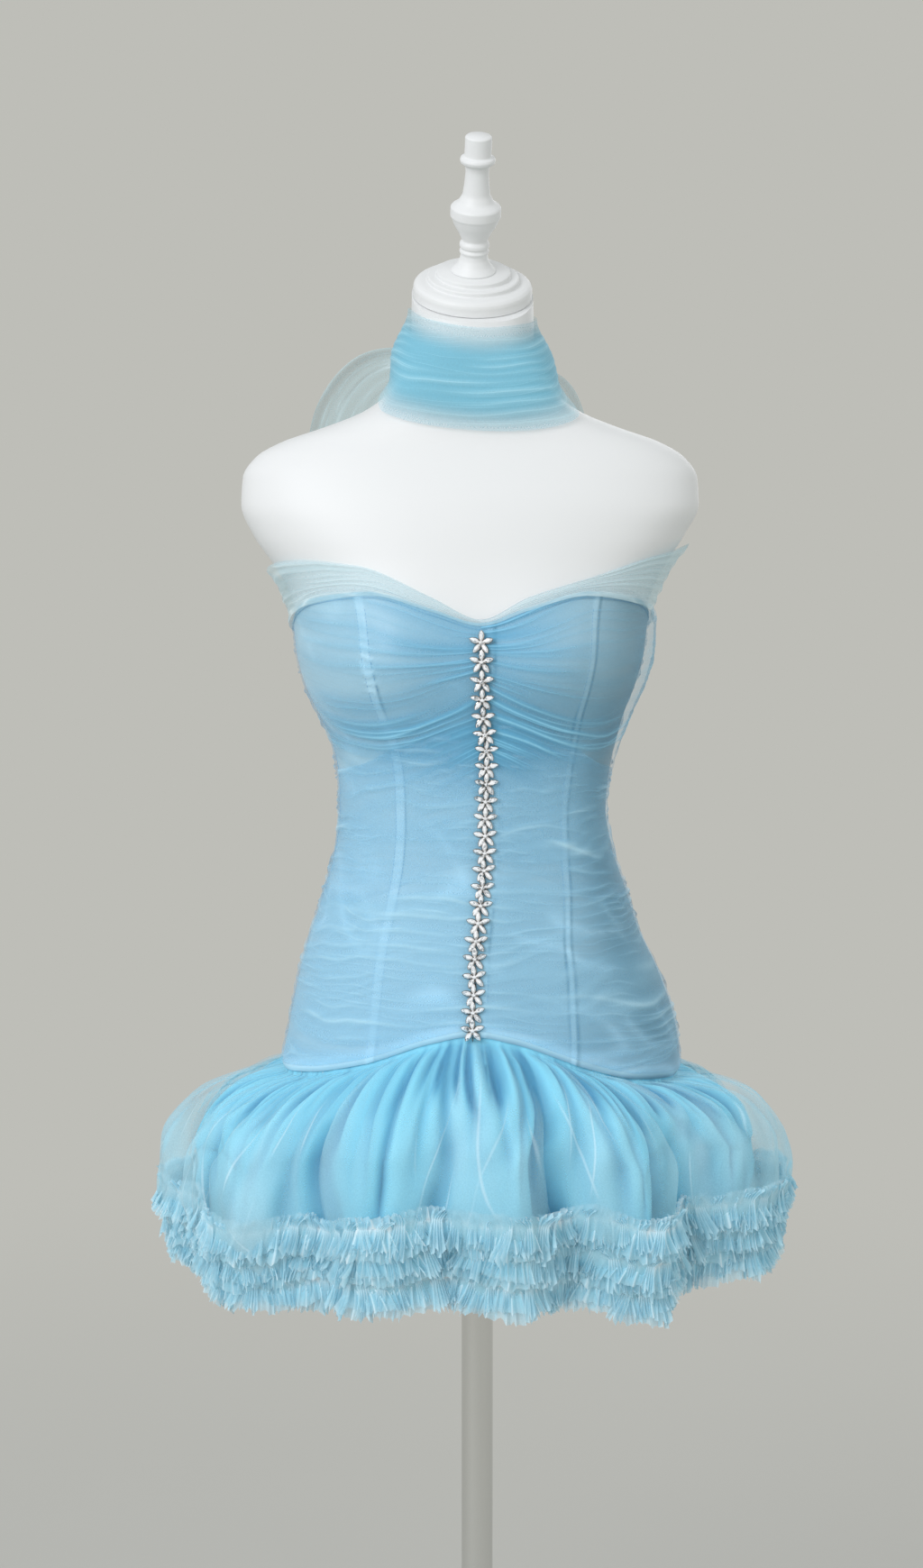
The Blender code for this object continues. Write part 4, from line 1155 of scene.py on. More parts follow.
def repeated(name, places, outward, upward, units, material, seed=0, turn=0.0, sizes=(1.0, 1.0)):
    """One mesh of the units set at each place, from the nodes above."""
    mesh = bpy.data.meshes.new(name)
    mesh.from_pydata(np.asarray(places).reshape(-1, 3).tolist(), [], [])
    for mark, values in (("outward", outward), ("upward", upward)):
        attribute = mesh.attributes.new(mark, "FLOAT_VECTOR", "POINT")
        attribute.data.foreach_set("vector", np.asarray(values, np.float32).ravel())
    made = bpy.data.objects.new(name, mesh)
    bpy.context.scene.collection.objects.link(made)
    group = bpy.data.collections.new(name + "_units")
    for one in units:
        group.objects.link(one)
    tree, ids = repeat_tree(name + "_nodes")
    modifier = made.modifiers.new("Repeat", "NODES")
    modifier.node_group = tree
    given = {
        "Units": group,
        "Material": material,
        "Seed": seed,
        "Turn": turn,
        "Smallest": sizes[0],
        "Largest": sizes[1],
    }
    for label, value in given.items():
        modifier[ids[label]] = value
    bpy.context.view_layer.update()
    graph = bpy.context.evaluated_depsgraph_get()
    real = bpy.data.meshes.new_from_object(made.evaluated_get(graph))
    made.modifiers.remove(modifier)
    made.data = real
    real.name = name
    bpy.data.meshes.remove(mesh)
    if not real.polygons:
        raise RuntimeError(f"{name}: no unit was set on its points")
    return made


def joined(main, others):
    """The main object with the meshes of the others added, and the others gone."""
    with bpy.context.temp_override(active_object=main, selected_editable_objects=[main, *others]):
        bpy.ops.object.join()
    return main


def remove_units(units):
    """Take away the units and the collections that held them, once they are set in place."""
    for one in units:
        mesh = one.data
        bpy.data.objects.remove(one, do_unlink=True)
        bpy.data.meshes.remove(mesh)
    for group in list(bpy.data.collections):
        if group.name.endswith("_units") and not group.objects:
            bpy.data.collections.remove(group)


# The flower trim

PETALS = 5
PETAL_LONG, PETAL_WIDE, PETAL_HIGH = 3.7 * MM, 2.0 * MM, 1.9 * MM
PETAL_FROM, HEART, HEART_HIGH = 5.2 * MM, 1.7 * MM, 2.4 * MM
FLOWER_OUT_ON_DRAPE, FLOWER_OUT = 7.4 * MM, 5.8 * MM
FLOWER_SEED, FLOWER_TURN = 3, math.radians(4)


def stone(centre, turn, long, wide, high, lift):
    """Points and faces of a cut stone: a girdle, a table and a shallow back."""
    girdle, table = 8, 0.45
    points, faces = [], []
    for scale, level in ((1.0, 0.0), (table, high)):
        for i in range(girdle):
            a = 2 * math.pi * i / girdle
            point_end = 1.0 + 0.25 * abs(math.cos(a)) ** 3
            along, across = long * scale * math.cos(a) * point_end, wide * scale * math.sin(a)
            x = centre[0] + along * math.cos(turn) - across * math.sin(turn)
            z = centre[1] + along * math.sin(turn) + across * math.cos(turn)
            points.append((x, lift + level + 0.12 * along, z))
    for i in range(girdle):
        j = (i + 1) % girdle
        faces.append((i, girdle + i, girdle + j, j))
    faces.append(tuple(range(girdle, 2 * girdle))[::-1])
    faces.append(tuple(range(girdle)))
    return points, faces


def add_to(points, faces, more):
    """Add more points and faces to these lists."""
    shift = len(points)
    points += more[0]
    faces += [tuple(shift + i for i in face) for face in more[1]]


def unit_object(name, points, faces, fold_and_shading=None):
    """A unit to repeat: cloth with its fold marks, or else a hard piece with flat faces."""
    marks = {"fold_and_shading": fold_and_shading, "cover": fold_and_shading} if fold_and_shading is not None else None
    made = mesh_piece(name, points, faces, None, marks)
    if fold_and_shading is None:
        made.data.shade_flat()
    return made


class DRESS_OT_flowers(Operator):
    """Set the chain of crystal flowers down the centre front"""

    bl_idname = "dress.flowers"
    bl_label = "Flower Trim"

    def execute(self, context):
        height = np.linspace(FLOWER_TOP, FLOWER_BOTTOM, FLOWER_COUNT)
        angle = seam_angle(0, height)
        on_drape = height > float(EDGES.at("underbust", 0)) - 8 * MM
        out = np.where(on_drape, FLOWER_OUT_ON_DRAPE, FLOWER_OUT)
        places = off_skin(angle, height, out)
        outward = unit(places - off_skin(angle, height, 0.0))
        upward = unit(off_skin(angle, height + MM, out) - off_skin(angle, height - MM, out))
        stones, claws = ([], []), ([], [])
        for i in range(PETALS):
            turn = math.pi / 2 + 2 * math.pi * i / PETALS
            spot = (PETAL_FROM * math.cos(turn), PETAL_FROM * math.sin(turn))
            add_to(*stones, stone(spot, turn, PETAL_LONG, PETAL_WIDE, PETAL_HIGH, 0.9 * MM))
            add_to(*claws, stone(spot, turn, PETAL_LONG * 1.1, PETAL_WIDE * 1.28, 0.9 * MM, 0.1 * MM))
            gap = turn + math.pi / PETALS
            bead = (2.9 * MM * math.cos(gap), 2.9 * MM * math.sin(gap))
            add_to(*claws, stone(bead, gap, 0.7 * MM, 0.7 * MM, 1.7 * MM, 0.3 * MM))
        add_to(*stones, stone((0, 0), 0, HEART, HEART, HEART_HIGH, 1.1 * MM))
        add_to(*claws, stone((0, 0), 0, HEART * 1.3, HEART * 1.3, 1.5 * MM, 0.2 * MM))
        add_to(*claws, stone((0, -7.0 * MM), math.pi / 2, 1.9 * MM, 0.6 * MM, 0.7 * MM, 0.3 * MM))
        nodes = [f"flower_{i + 1:02d}" for i in range(FLOWER_COUNT)]
        clear = crystal("crystal_stone", "#6f7a80", "#ffffff")
        silver = metal("silver_setting", "#8e8a84", 0.22)
        flower = unit_object("flower_unit", *stones)
        setting = unit_object("setting_unit", *claws)
        row = (places, outward, upward)
        chain = repeated("flower_stones", *row, [flower], clear, FLOWER_SEED, FLOWER_TURN)
        finished(chain, "crystal", *nodes)
        mounts = repeated("flower_settings", *row, [setting], silver, FLOWER_SEED, FLOWER_TURN)
        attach(mounts, "root")
        remove_units([flower, setting])
        return {"FINISHED"}


# The topstitching: two lines down each channel and one below the neckline.
STITCH_LENGTH, STITCH_PITCH, STITCH_THICK, STITCH_SIDES = 2.0 * MM, 2.9 * MM, 0.22 * MM, 5
STITCH_LOWEST, STITCH_HIGHEST = 0.925, 1.30


class DRESS_OT_stitches(Operator):
    """Sew the topstitching along the corset's channels and neckline"""

    bl_idname = "dress.stitches"
    bl_label = "Topstitching"

    def execute(self, context):
        rows = []
        for seam, offset, half in CHANNELS:
            for side in (-1, 1):
                height = np.arange(STITCH_LOWEST, STITCH_HIGHEST, STITCH_PITCH)
                angle = seam_angle(seam, height)
                angle = angle + (offset + side * half * 0.8) * MM / metres_per_degree(angle, height)
                edge, brim = bodice_height(seam, 0.0) + 8 * MM, bodice_height(seam, 2.0) - 6 * MM
                keep = (height > edge) & (height < brim)
                rows.append(self.sew(angle[keep], height[keep]))
        column = np.linspace(-REAR, REAR, 330)
        brim = bodice_height(column, 2.0) - 5 * MM
        rows.append(self.sew(seam_angle(column, brim), brim))
        places, outward, upward = (np.concatenate(part) for part in zip(*rows))
        points = []
        for end in (-1, 1):
            for i in range(STITCH_SIDES):
                a = 2 * math.pi * i / STITCH_SIDES
                x, y = STITCH_THICK * math.cos(a), STITCH_THICK * math.sin(a)
                points.append((x, y, end * STITCH_LENGTH / 2))
        stitch = unit_object("stitch_unit", points, grid_faces(2, STITCH_SIDES, ring=True))
        thread = satin("pale_thread", "#7fb0d6", "#cfe4f6", 0.5)
        sewn = repeated("topstitching", places, outward, upward, [stitch], thread)
        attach(sewn, "root")
        remove_units([stitch])
        return {"FINISHED"}

    def sew(self, angle, height):
        """Places for a line of stitches, and the ways out of the cloth and along the line."""
        here = off_skin(angle, height, CORSET_OUT + 0.15 * MM)
        return here, unit(here - off_skin(angle, height, 0.0)), unit(np.gradient(here, axis=0))


# The skirt

# Long soft troughs down the skirt: angle at the seam and at the hem, depth in mm, half width
# in degrees, and the part of the fall at which each has died away.
TROUGHS = (
    (-83, -88, 5, 1.8, 0.9), (-72, -76, 6, 1.6, 1.1), (-61, -66, 4, 1.3, 0.6), (-54, -57, 6, 1.5, 0.9),
    (-45, -50, 5, 1.2, 0.6), (-36, -39, 6, 1.5, 0.8), (-30, -32, 9, 1.7, 1.3), (-23, -20, 5, 1.1, 0.5),
    (-17, -14, 8, 1.3, 0.7), (-10, -9, 4, 1.0, 0.5), (-6, -4, 7, 1.4, 1.1), (0, -1, 5, 1.0, 0.4),
    (6, 8, 4, 1.1, 0.5), (12, 14, 6, 1.2, 0.6), (17, 19, 12, 1.9, 1.4), (24, 23, 5, 1.2, 0.5),
    (29, 32, 6, 1.3, 0.7), (35, 37, 5, 1.2, 0.6), (42, 48, 13, 2.0, 1.4), (53, 58, 5, 1.5, 0.8),
    (63, 66, 6, 1.6, 0.7), (74, 76, 7, 1.6, 1.0), (86, 88, 5, 1.5, 0.7), (98, 102, 9, 1.9, 1.3),
    (110, 112, 5, 1.4, 0.6), (119, 121, 6, 1.5, 0.8), (129, 133, 5, 1.3, 0.6), (139, 139, 10, 1.9, 1.3),
    (148, 150, 5, 1.3, 0.6), (157, 158, 6, 1.5, 0.8), (166, 166, 9, 1.8, 1.3), (175, 177, 5, 1.3, 0.6),
    (-174, -176, 6, 1.5, 0.7), (-166, -166, 9, 1.8, 1.3), (-156, -157, 5, 1.3, 0.6),
    (-147, -149, 6, 1.4, 0.7), (-138, -137, 9, 1.8, 1.3), (-128, -130, 5, 1.3, 0.6),
    (-118, -120, 6, 1.5, 0.8), (-108, -105, 8, 1.7, 1.2), (-96, -97, 5, 1.4, 0.6),
)


def skirt_folds(angle, fall, size):
    """Gathers at the seam that merge into the flutes.

    Gives how far the cloth stands out of the skirt's surface, and the painted shade for the gathers'
    slits and the long troughs, darker the deeper they are.
    """
    turns = angle / 360.0
    _, place, strength = round_streaks(turns, fall, size.gathers, 0.0, 92)
    place = place + 0.75 * Noise(93, 80).at(turns * 80, fall * 2.0)
    slit = np.clip(1 - 2.2 * np.abs(place - np.floor(place) - 0.5), 0, 1) ** 1.2
    slit = slit * (0.15 + 0.85 * strength)
    reach = 0.24 + 0.15 * Noise(95).at(0.37 + np.floor(place) % size.gathers, 0.5)
    middle, *_ = round_streaks(turns, fall, size.gathers // 2, 1.5, 94)
    crest, *_ = round_streaks(turns, fall, 44, -1.0, 96)
    early = ramp(fall, -0.02, 0.02) * (1 - ramp(fall, 0.25 * reach, reach))
    late = ramp(fall, 0.0, 0.10) * (1 - 0.45 * ramp(fall, 0.35, 0.95))
    depth = -size.gather_depth * (0.8 * slit * early + 0.5 * middle * late)
    puff = ramp(fall, 0.0, 0.04) * (1 - ramp(fall, 0.08, 0.32))
    depth = depth + size.gather_depth * (0.7 * crest * late + 0.45 * puff * (1 - slit))
    # Painted shade in the slits under the seam, in the middle gathers and, below, in each trough.
    valley_shade = 1.7 * slit * early + 0.22 * middle * late
    bend = 2.2 * Noise(98, 24).at(turns * 24, fall * 2.6) * ramp(fall, 0.0, 0.5)
    for seam, hem, deep, half, end in TROUGHS:
        line = seam + (hem - seam) * fall + bend
        away = wrapped(angle - line) / (half * (0.75 + 0.9 * fall))
        trough = np.exp(-(away**2)) * ramp(fall, -0.02, 0.03) * (1 - ramp(fall, end - 0.3, end + 0.2))
        depth = depth - deep * MM * trough
        valley_shade = valley_shade + deep / 11.0 * trough
    return np.maximum(depth, -0.3 * MM - 60 * MM * np.clip(fall, 0, 1)), valley_shade


def skirt_sheet(angle, fall, out):
    """The skirt's surface moved out, its gathered edge tucked up behind the bodice's hem."""
    points = skirt_surface(angle, fall) + skirt_outward(angle, fall) * out[..., None]
    points[..., 2] += np.clip(-fall, 0, None) * 260 * MM
    return points


HALVES = (("front", -90.0, 90.0), ("back", 90.0, 270.0))
LINING_COLUMNS, TULLE_COLUMNS, FRILL_COLUMNS = 361, 381, 620  # points along one half
LINING_HEM, TULLE_HEM = 0.92, 0.985


class DRESS_OT_skirt(Operator):
    """Build the opaque underskirt and the sheer skirt over it"""

    bl_idname = "dress.skirt"
    bl_label = "Skirt Layers"

    def execute(self, context):
        size = context.scene.dress_skirt
        # The lining runs from its pale aqua to the darker blue of the painted shade in its gathers and
        # troughs.
        under = satin("aqua_lining", "#8ee2fa", "#3c94be", 0.62)
        net = tulle("crisp_tulle", "#a6e6f6", "#e6f8ff", 0.12, 0.66, line=0.42, width=0.06)
        falls = np.concatenate([np.linspace(-0.03, 0.10, 26), np.linspace(0.115, LINING_HEM, 44)])
        for half, first, last in HALVES:
            angle, fall = np.meshgrid(np.linspace(first, last, LINING_COLUMNS), falls)
            depth, valley_shade = skirt_folds(angle, fall, size)
            at_side = np.abs(np.sin(np.radians(angle)))
            inset = (10 + 16 * at_side**2) * MM * SKIRT_FALL.at("flare", np.clip(fall, 0, 1))
            inset = inset * (0.35 + 0.65 * ramp(fall, 0.0, 0.5))
            points = skirt_sheet(angle, fall, depth - inset)
            lining = sheet_piece(f"lining_{half}", points[::-1], under, np.clip(valley_shade, 0, 1)[::-1])
            finished(lining, "skirt_lining", f"underskirt_{half}")
        falls = np.concatenate([np.linspace(-0.03, 0.10, 24), np.linspace(0.113, TULLE_HEM, 52)])
        for half, first, last in HALVES:
            angle, fall = np.meshgrid(np.linspace(first, last, TULLE_COLUMNS), falls[::-1])
            depth, valley_shade = skirt_folds(angle, fall, size)
            turns = angle / 360.0
            puff = Noise(101, 40).at(turns * 40, fall * 1.3)
            body = ramp(fall, 0.01, 0.20) * (1 - 0.7 * ramp(fall, 0.6, 1.0))
            out = size.tulle_stand * (0.75 + 0.9 * puff) * body
            down_left, *left_line = round_streaks(turns, fall, 64, 1.8, 102)
            down_right, *right_line = round_streaks(turns, fall, 50, -1.6, 105)
            out = out + 1.7 * MM * (down_left + down_right) * body
            points = skirt_sheet(angle, fall, 0.85 * depth + 1.6 * MM + out)
            drift = ramp(fall, 0.0, 0.45)
            # The net is thinner over the valleys so that the lining's painted shade shows through.
            cover = np.clip(0.15 + 0.55 * drift + 0.22 * puff - 0.6 * np.clip(valley_shade, 0, 1), 0, 1)
            fold_and_shading = np.clip(0.16 + 0.22 * puff + 0.12 * drift, 0, 1)
            broken = ramp(fall, 0.07, 0.22) * ramp(Noise(107, 45).at(turns * 45, fall * 4.5), -0.3, 0.45)
            both = (left_line, right_line)
            lines = [(place, broken * ramp(strength, 0.0, 0.8)) for place, strength in both]
            sheer = sheet_piece(f"sheer_skirt_{half}", points, net, fold_and_shading, cover=cover, lines=lines)
            finished(sheer, "skirt_tulle", f"tulle_skirt_{half}")
        return {"FINISHED"}


# The ruffle: a finely pleated strip hangs from the row's stitched line with a short header
# above, and loose fans of pleats stand out of it.
RUFFLE_HEADER = 0.045  # part of the skirt's fall from a row's top down to its stitched line
FAN_KINDS, FAN_PLEATS, FAN_ROWS = 6, 5, 4
FAN_SEED, FRILL_SEED = 200, 300
FAN_LONG, HEADER_LONG = 24 * MM, 9.5 * MM
STRIP_LAYERS = ((FAN_LONG, False), (FAN_LONG * 0.72, False), (HEADER_LONG, True))


def fan(rng, long, upward):
    """Points, faces and fold marks of one tuft of pleats, hanging from its stitched root."""
    columns = 2 * FAN_PLEATS + 1
    swing = rng.uniform(-1, 1, columns)
    ends = long * (1 + 0.24 * rng.uniform(-1, 1, columns))
    lean = 5.0 * MM * rng.uniform(-1, 1)
    points, fold_and_shading = [], []
    for r in range(FAN_ROWS + 1):
        t = r / FAN_ROWS
        for c in range(columns):
            side = 2 * c / (columns - 1) - 1
            x = side * (4.6 + 3.2 * t) * MM + 1.3 * MM * t * swing[c] + lean * t * t
            crest = 1 if c % 2 else -1
            y = crest * (0.4 + 1.1 * t) * MM + (1.0 if upward else 7.0) * MM * t**1.4
            z = ends[c] * t * (1 - 0.12 * t * side * side)
            points.append((x, y + 1.2 * MM, z if upward else -z))
            fold_and_shading.append(min(1.0, 0.15 + 0.22 * (c % 2) + 0.4 * (1 - t) ** 3 + 0.26 * t**4))
    return points, [tuple(f) for f in grid_faces(FAN_ROWS + 1, columns)], fold_and_shading


def frill(angle, line, long, upward, size, seed):
    """A pleated strip from its stitched line to its thin cut edge.

    Gives its points, how pale and how dense it is, and its crests.
    """
    root = skirt_surface(angle, line)
    outward = skirt_outward(angle, line)
    along = unit(np.gradient(root, axis=0))
    down = unit(skirt_surface(angle, line + 0.02) - skirt_surface(angle, line - 0.02))
    loop = angle / 360.0
    phase = run_along(root) / size.pleat_pitch + 1.5 * Noise(seed, 96).at(loop * 96, 0.5)
    pleat = np.sin(2 * np.pi * phase)
    bunch = Noise(seed + 1, 48).at(loop * 48, 0.5)
    swing = Noise(seed + 2, 60).at(loop * 60, 0.5) + 0.4 * Noise(seed + 5, 180).at(loop * 180, 0.5)
    ragged = np.random.default_rng(seed + 3).uniform(-1, 1, len(angle))
    cut = long * (1 + 0.10 * ragged + 0.18 * Noise(seed + 4, 120).at(loop * 120, 0.5))
    fullness = (1.0 + 0.8 * bunch) if upward else (7.5 + 5.0 * bunch)
    points, pale, cover, strands = [], [], [], []
    for t in np.linspace(0, 1, 7):
        stand = (1.2 + (0.4 + 1.9 * t) * pleat + fullness * t**1.4) * MM
        slide = (13.0 * swing * t**0.9 + (1.0 * np.cos(2 * np.pi * phase) + 0.2 * ragged) * t) * MM
        fall = cut * t * (1 - 0.10 * bunch) * (-1 if upward else 1)
        points.append(root + outward * stand[:, None] + along * slide[:, None] + down * fall[:, None])
        pale.append(0.16 + 0.20 * np.clip(pleat, 0, 1) ** 2 + 0.6 * (1 - t) ** 5 + 0.26 * t**4)
        cover.append(0.85 - 0.60 * t**2 + 0.10 * pleat)
        strands.append((0.55 + 0.45 * t) * (0.7 + 0.3 * ragged))
    order = slice(None) if upward else slice(None, None, -1)
    pale = np.clip(np.array(pale) + 0.30 * upward, 0, 1)
    cover, strands = np.clip(cover, 0, 1)[order], np.array(strands)[order]
    return np.array(points)[order], pale[order], cover, (phase + 0.25, strands)


class DRESS_OT_ruffles(Operator):
    """Set the pleats of the three ruffle rows round the hem"""

    bl_idname = "dress.ruffles"
    bl_label = "Ruffle Rows"

    def execute(self, context):
        size = context.scene.dress_skirt
        net = tulle("ruffle_tulle", "#96dff4", "#eafaff", 0.34, 0.90, line=0.42, width=0.15, slub=0.06)
        units = []
        for kind in range(FAN_KINDS):
            rng = np.random.default_rng(FAN_SEED + kind)
            points, faces, fold_and_shading = fan(rng, FAN_LONG, False)
            *header, header_fold = fan(rng, HEADER_LONG, True)
            add_to(points, faces, header)
            units.append(unit_object(f"fan_{kind}", points, faces, fold_and_shading + header_fold))
        for row, top in enumerate(RUFFLE_TOPS):
            for half, first, last in HALVES:
                angle = np.linspace(first, last, FRILL_COLUMNS)
                wander = 0.050 * Noise(109, 24).at(angle / 15.0, 0.5)
                wander = wander + 0.035 * Noise(110 + row, 40).at(angle / 9.0, 0.5)
                line = top + RUFFLE_HEADER + wander
                strips = []
                for layer, (long, upward) in enumerate(STRIP_LAYERS):
                    seed = FRILL_SEED + 40 * row + 10 * layer
                    points, pale, cover, strands = frill(angle, line, long, upward, size, seed)
                    name = f"frill_{row + 1}_{half}_{layer}"
                    strips.append(sheet_piece(name, points, net, pale, cover=cover, lines=[strands]))
                outward = skirt_outward(angle, line)
                here = skirt_surface(angle, line) + outward * (3.2 * MM)
                run = run_along(here)
                count = int(run[-1] / size.fan_pitch)
                pick = np.searchsorted(run, (np.arange(count) + 0.5) * run[-1] / count)
                up = skirt_surface(angle, line - 0.02) - skirt_surface(angle, line + 0.02)
                fans = repeated(
                    f"ruffle_strip_{row + 1}_{half}",
                    here[pick],
                    outward[pick],
                    unit(up[pick] * 0.7 + np.array([0, 0, 0.3]) * MM),
                    units,
                    net,
                    seed=size.seed + 10 * row,
                    turn=size.pleat_lean,
                    sizes=(0.60, 1.05),
                )
                strip = joined(fans, strips)
                strip.data.shade_flat()
                finished(strip, "ruffle_tulle", f"ruffle_{row + 1}_{half}")
        remove_units(units)
        return {"FINISHED"}


# The scarf


class DRESS_OT_scarf(Operator):
    """Build the neck scarf: its winding, knot and two ends"""

    bl_idname = "dress.scarf"
    bl_label = "Neck Scarf"

    def execute(self, context):
        net = tulle("scarf_tulle", "#6cbcd6", "#b8e2ee", 0.28, 0.90, line=0.20, width=0.10)
        angle, part = np.meshgrid(np.linspace(-180, 180, 200, endpoint=False), np.linspace(0, 1, 76))
        turns = (angle + 180.0) / 360.0
        sway = 0.5 * Noise(121, 6).at(turns * 6, part * 2)
        tilt = 0.8 * np.sin(2 * np.pi * turns + 0.6)
        folds, *fold_line = streaks(part * 10 + sway + tilt + 3, 7 * turns, 122)
        fine, *fine_line = streaks(part * 21 + 2 * sway + 1.5 * tilt + 9, 9 * turns, 132)
        stand = 0.8 * MM * folds + 0.3 * MM * fine
        points = scarf_points(angle, part, 1.2 * MM + stand * bell(part, 0.5, 0.62))
        points[..., 2] += 2.0 * MM * (1 - ramp(part, 0.0, 0.25))
        centre = ramp(part, -0.02, 0.30) * (1 - ramp(part, 0.70, 0.97))
        cover = np.clip(0.9 * centre + 0.15 * folds, 0, 1)
        fold_and_shading = np.clip(0.15 + 0.25 * folds + 0.6 * (1 - centre), 0, 1)
        lines = (fold_line, fine_line)
        made = sheet_piece("scarf_winding", points, net, fold_and_shading, ring=True, cover=cover, lines=lines)
        wrap = finished(made, "sheer_tulle", "scarf_wrap")
        self.knot(net)
        pale = tulle("scarf_end_tulle", "#9bc9d2", "#dcecef", 0.34, 0.78)
        for index, (name, table) in enumerate(SCARF_ENDS.items()):
            made = self.end(name, table, pale, 130 + index)
        return {"FINISHED"}

    def knot(self, net):
        """The creased knot at the nape."""
        turn, lift = np.meshgrid(
            np.linspace(-math.pi, math.pi, 60, endpoint=False), np.linspace(-1.45, 1.45, 32)
        )
        crease = Noise(125, 9).at((turn / math.pi + 1) * 4.5, lift * 1.2 + turn * 0.6)
        reach = 1.0 - 0.20 * creases(crease * 1.4, 2.0) + 0.06 * np.cos(2 * turn)
        ball = np.stack([np.cos(turn) * np.cos(lift), np.sin(turn) * np.cos(lift), np.sin(lift)], -1)
        shape = ball * reach[..., None] * np.array(KNOT_HALF) * np.array([1.12, 0.92, 1.0])
        back = scarf_points(np.array([180.0]), np.array([0.5]), np.array([KNOT_HALF[1] - 3.0 * MM]))[0]
        # Painted shade: the knot's sunk creases are painted darker.
        fold_and_shading = np.clip(0.80 - 0.6 * creases(crease * 1.6, 3.0), 0, 1)
        made = sheet_piece("scarf_knot_folds", shape + back, net, fold_and_shading, ring=True, cover=0.7)
        finished(made, "sheer_tulle", "scarf_knot")

    def end(self, name, table, net, seed):
        """One free end, pleated at the knot and opening as it falls behind the shoulder."""
        last = float(table.keys[-1])
        step = np.linspace(0, last, 90)
        line = np.stack([table.at(axis, step) for axis in "xyz"], -1)
        along = unit(np.gradient(line, axis=0))
        across = unit(np.cross(along, np.array([0.0, 1.0, 0.0])))
        facing = unit(np.cross(across, along))
        half = table.at("half", step)
        part = np.linspace(-1, 1, 50)
        s, p = np.meshgrid(step, part, indexing="ij")
        folds = Noise(seed).at(p * 4.2 + 7, s * 0.55)
        fine = Noise(seed + 5).at(p * 8.5 + 7, s * 0.9)
        open_out = ramp(s, 0.0, 2.2)
        stand = (6.0 * folds + 2.0 * fine) * MM * (0.3 + 0.7 * open_out)
        stand = stand + 3.0 * MM * np.sin(p * 3.0 + s) * open_out
        points = line[:, None] + across[:, None] * (half[:, None] * part)[..., None]
        points = points + facing[:, None] * stand[..., None]
        edge = 0.5 * (np.abs(p) > 0.97)
        fold_and_shading = np.clip(0.7 * creases(folds * 1.9, 6.0) + 0.5 * creases(fine * 1.9, 6.0), 0, 1)
        fold_and_shading = np.clip(fold_and_shading + 0.4 * (1 - open_out) + edge, 0, 1)
        return finished(sheet_piece(name + "_net", points, net, fold_and_shading), "sheer_tulle", name)


# Stage, panel and run

FLOOR_REACH = 40.0
FLOOR_NEAR, FLOOR_FAR = 0.5, 3.2  # where the floor begins to melt into the backdrop and has done
EYE, EYE_PITCH, EYE_LENS = Vector((-0.0135, -2.0, 1.35)), math.radians(90 - 5.66), 54.83
LIT_POINT = Vector((0, 0, 1.05))


def soft_light(name, place, power, size, tint):
    """A broad light that faces the dress."""
    data = bpy.data.lights.new(name, "AREA")
    data.shape = "RECTANGLE"
    data.size, data.size_y = size
    data.energy = power
    data.color = colour(tint)[:3]
    made = bpy.data.objects.new(name, data)
    made.location = place
    made.rotation_euler = (LIT_POINT - Vector(place)).to_track_quat("-Z", "Y").to_euler()
    bpy.context.scene.collection.objects.link(made)


def seen(tree):
    """1 for what the camera sees, also in a mirror and through glass, and 0 for light."""
    path = add_node(tree, "ShaderNodeLightPath").outputs
    inputs = {0: path["Is Camera Ray"], 1: path["Is Glossy Ray"]}
    either = add_node(tree, "ShaderNodeMath", inputs, operation="MAXIMUM").outputs[0]
    inputs = {0: either, 1: path["Is Transmission Ray"]}
    return add_node(tree, "ShaderNodeMath", inputs, operation="MAXIMUM").outputs[0]


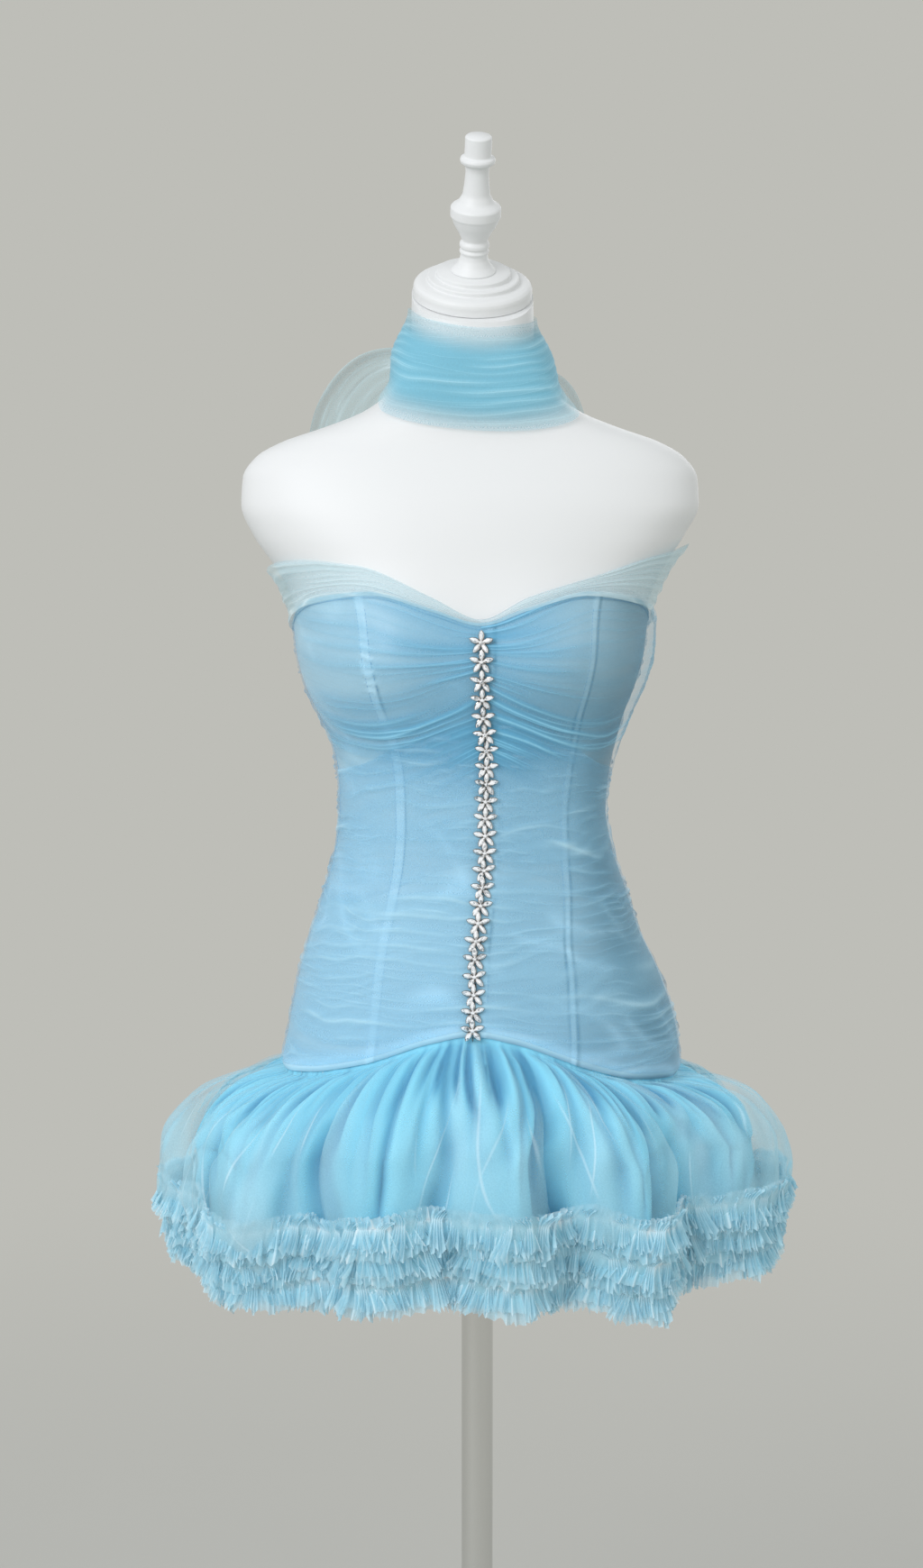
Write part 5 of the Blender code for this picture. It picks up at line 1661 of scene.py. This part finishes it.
class DRESS_OT_stage(Operator):
    """Set the floor, backdrop, lights and camera"""

    bl_idname = "dress.stage"
    bl_label = "Stage"

    def execute(self, context):
        scene = context.scene
        size = scene.dress_stage
        paint = self.floor_paint(tuple(size.floor), tuple(size.wall))
        turn = np.linspace(0, 2 * np.pi, 96, endpoint=False)
        rim = [(FLOOR_REACH * math.cos(a), FLOOR_REACH * math.sin(a), -0.5 * MM) for a in turn]
        floor = mesh_piece("floor", rim, [tuple(range(len(rim)))], paint)
        soft_light("key_light", (-1.7, -2.3, 2.5), size.key_power, (1.6, 1.8), "#fbfbff")
        soft_light("fill_light", (2.3, -1.6, 1.6), size.fill_power, (1.8, 1.8), "#fbfaf6")
        soft_light("back_light", (0.9, 2.7, 2.3), size.back_power, (1.8, 1.8), "#fbfbff")
        world = bpy.data.worlds.new("room")
        world.use_nodes = True
        tree = world.node_tree
        light = tree.nodes["Background"]
        light.inputs["Color"].default_value = colour("#f3f5f6")
        light.inputs["Strength"].default_value = size.room_light
        shown = add_node(tree, "ShaderNodeBackground", {"Color": tuple(size.wall)})
        inputs = {0: seen(tree), 1: light.outputs[0], 2: shown.outputs[0]}
        both = add_node(tree, "ShaderNodeMixShader", inputs)
        tree.links.new(both.outputs[0], tree.nodes["World Output"].inputs["Surface"])
        scene.world = world
        scene.view_settings.view_transform = "Standard"
        lens = bpy.data.cameras.new("eye")
        lens.lens, lens.sensor_width = EYE_LENS, 36.0
        eye = bpy.data.objects.new("eye", lens)
        eye.location = EYE
        eye.rotation_euler = (EYE_PITCH, 0.0, 0.0)
        scene.collection.objects.link(eye)
        scene.camera = eye
        return {"FINISHED"}

    def floor_paint(self, near, far):
        """Matt paint that takes the figure's shadow and melts into the backdrop further out."""
        made, tree, shader = shader_of("matt_floor_paint", Roughness=0.95)
        place = add_node(tree, "ShaderNodeTexCoord").outputs["Object"]
        inputs = {"Vector": place, "Scale": FLOOR_PATCHES / MM, "Detail": 2.0}
        grain = add_node(tree, "ShaderNodeTexNoise", inputs)
        worn = (*(v * 0.97 for v in near[:3]), 1.0)
        inputs = {"Factor": grain.outputs["Fac"], 6: worn, 7: near}
        tone = add_node(tree, "ShaderNodeMix", inputs, data_type="RGBA")
        tree.links.new(tone.outputs[2], shader.inputs["Base Color"])
        away = add_node(tree, "ShaderNodeVectorMath", {0: place}, operation="LENGTH")
        inputs = {"Value": away.outputs["Value"], "From Min": FLOOR_NEAR, "From Max": FLOOR_FAR}
        share = add_node(tree, "ShaderNodeMapRange", inputs, interpolation_type="SMOOTHSTEP")
        inputs = {0: share.outputs[0], 1: seen(tree)}
        share = add_node(tree, "ShaderNodeMath", inputs, operation="MULTIPLY")
        glow = add_node(tree, "ShaderNodeEmission", {"Color": far})
        inputs = {0: share.outputs[0], 1: shader.outputs[0], 2: glow.outputs[0]}
        both = add_node(tree, "ShaderNodeMixShader", inputs)
        tree.links.new(both.outputs[0], tree.nodes["Material Output"].inputs["Surface"])
        return made


STEPS = (
    DRESS_OT_form,
    DRESS_OT_corset,
    DRESS_OT_overlay,
    DRESS_OT_drapes,
    DRESS_OT_band,
    DRESS_OT_flowers,
    DRESS_OT_stitches,
    DRESS_OT_skirt,
    DRESS_OT_ruffles,
    DRESS_OT_scarf,
    DRESS_OT_stage,
)


class DRESS_PT_panel(Panel):
    """Lists the pieces of the dress and the sizes that they read"""

    bl_idname = "DRESS_PT_panel"
    bl_label = "Ruched Tulle Dress"
    bl_space_type = "VIEW_3D"
    bl_region_type = "UI"
    bl_category = "Dress"

    def draw(self, context):
        for title, settings in (
            ("Bodice", context.scene.dress_bodice),
            ("Skirt", context.scene.dress_skirt),
            ("Stage", context.scene.dress_stage),
        ):
            box = self.layout.box()
            box.label(text=title)
            for key in settings.bl_rna.properties.keys():
                if key not in ("rna_type", "name"):
                    box.prop(settings, key)
        for step in STEPS:
            self.layout.operator(step.bl_idname)


GROUPS = {
    "dress_bodice": DRESS_PG_bodice,
    "dress_skirt": DRESS_PG_skirt,
    "dress_stage": DRESS_PG_stage,
}


def register():
    for one in (*GROUPS.values(), *STEPS, DRESS_PT_panel):
        bpy.utils.register_class(one)
    for name, group in GROUPS.items():
        setattr(bpy.types.Scene, name, PointerProperty(type=group))


def unregister():
    for name in GROUPS:
        delattr(bpy.types.Scene, name)
    for one in reversed((*GROUPS.values(), *STEPS, DRESS_PT_panel)):
        bpy.utils.unregister_class(one)


def main():
    register()
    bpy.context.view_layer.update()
    for step in STEPS:
        family, name = step.bl_idname.split(".")
        getattr(getattr(bpy.ops, family), name)()
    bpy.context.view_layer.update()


if __name__ == "__main__":
    main()
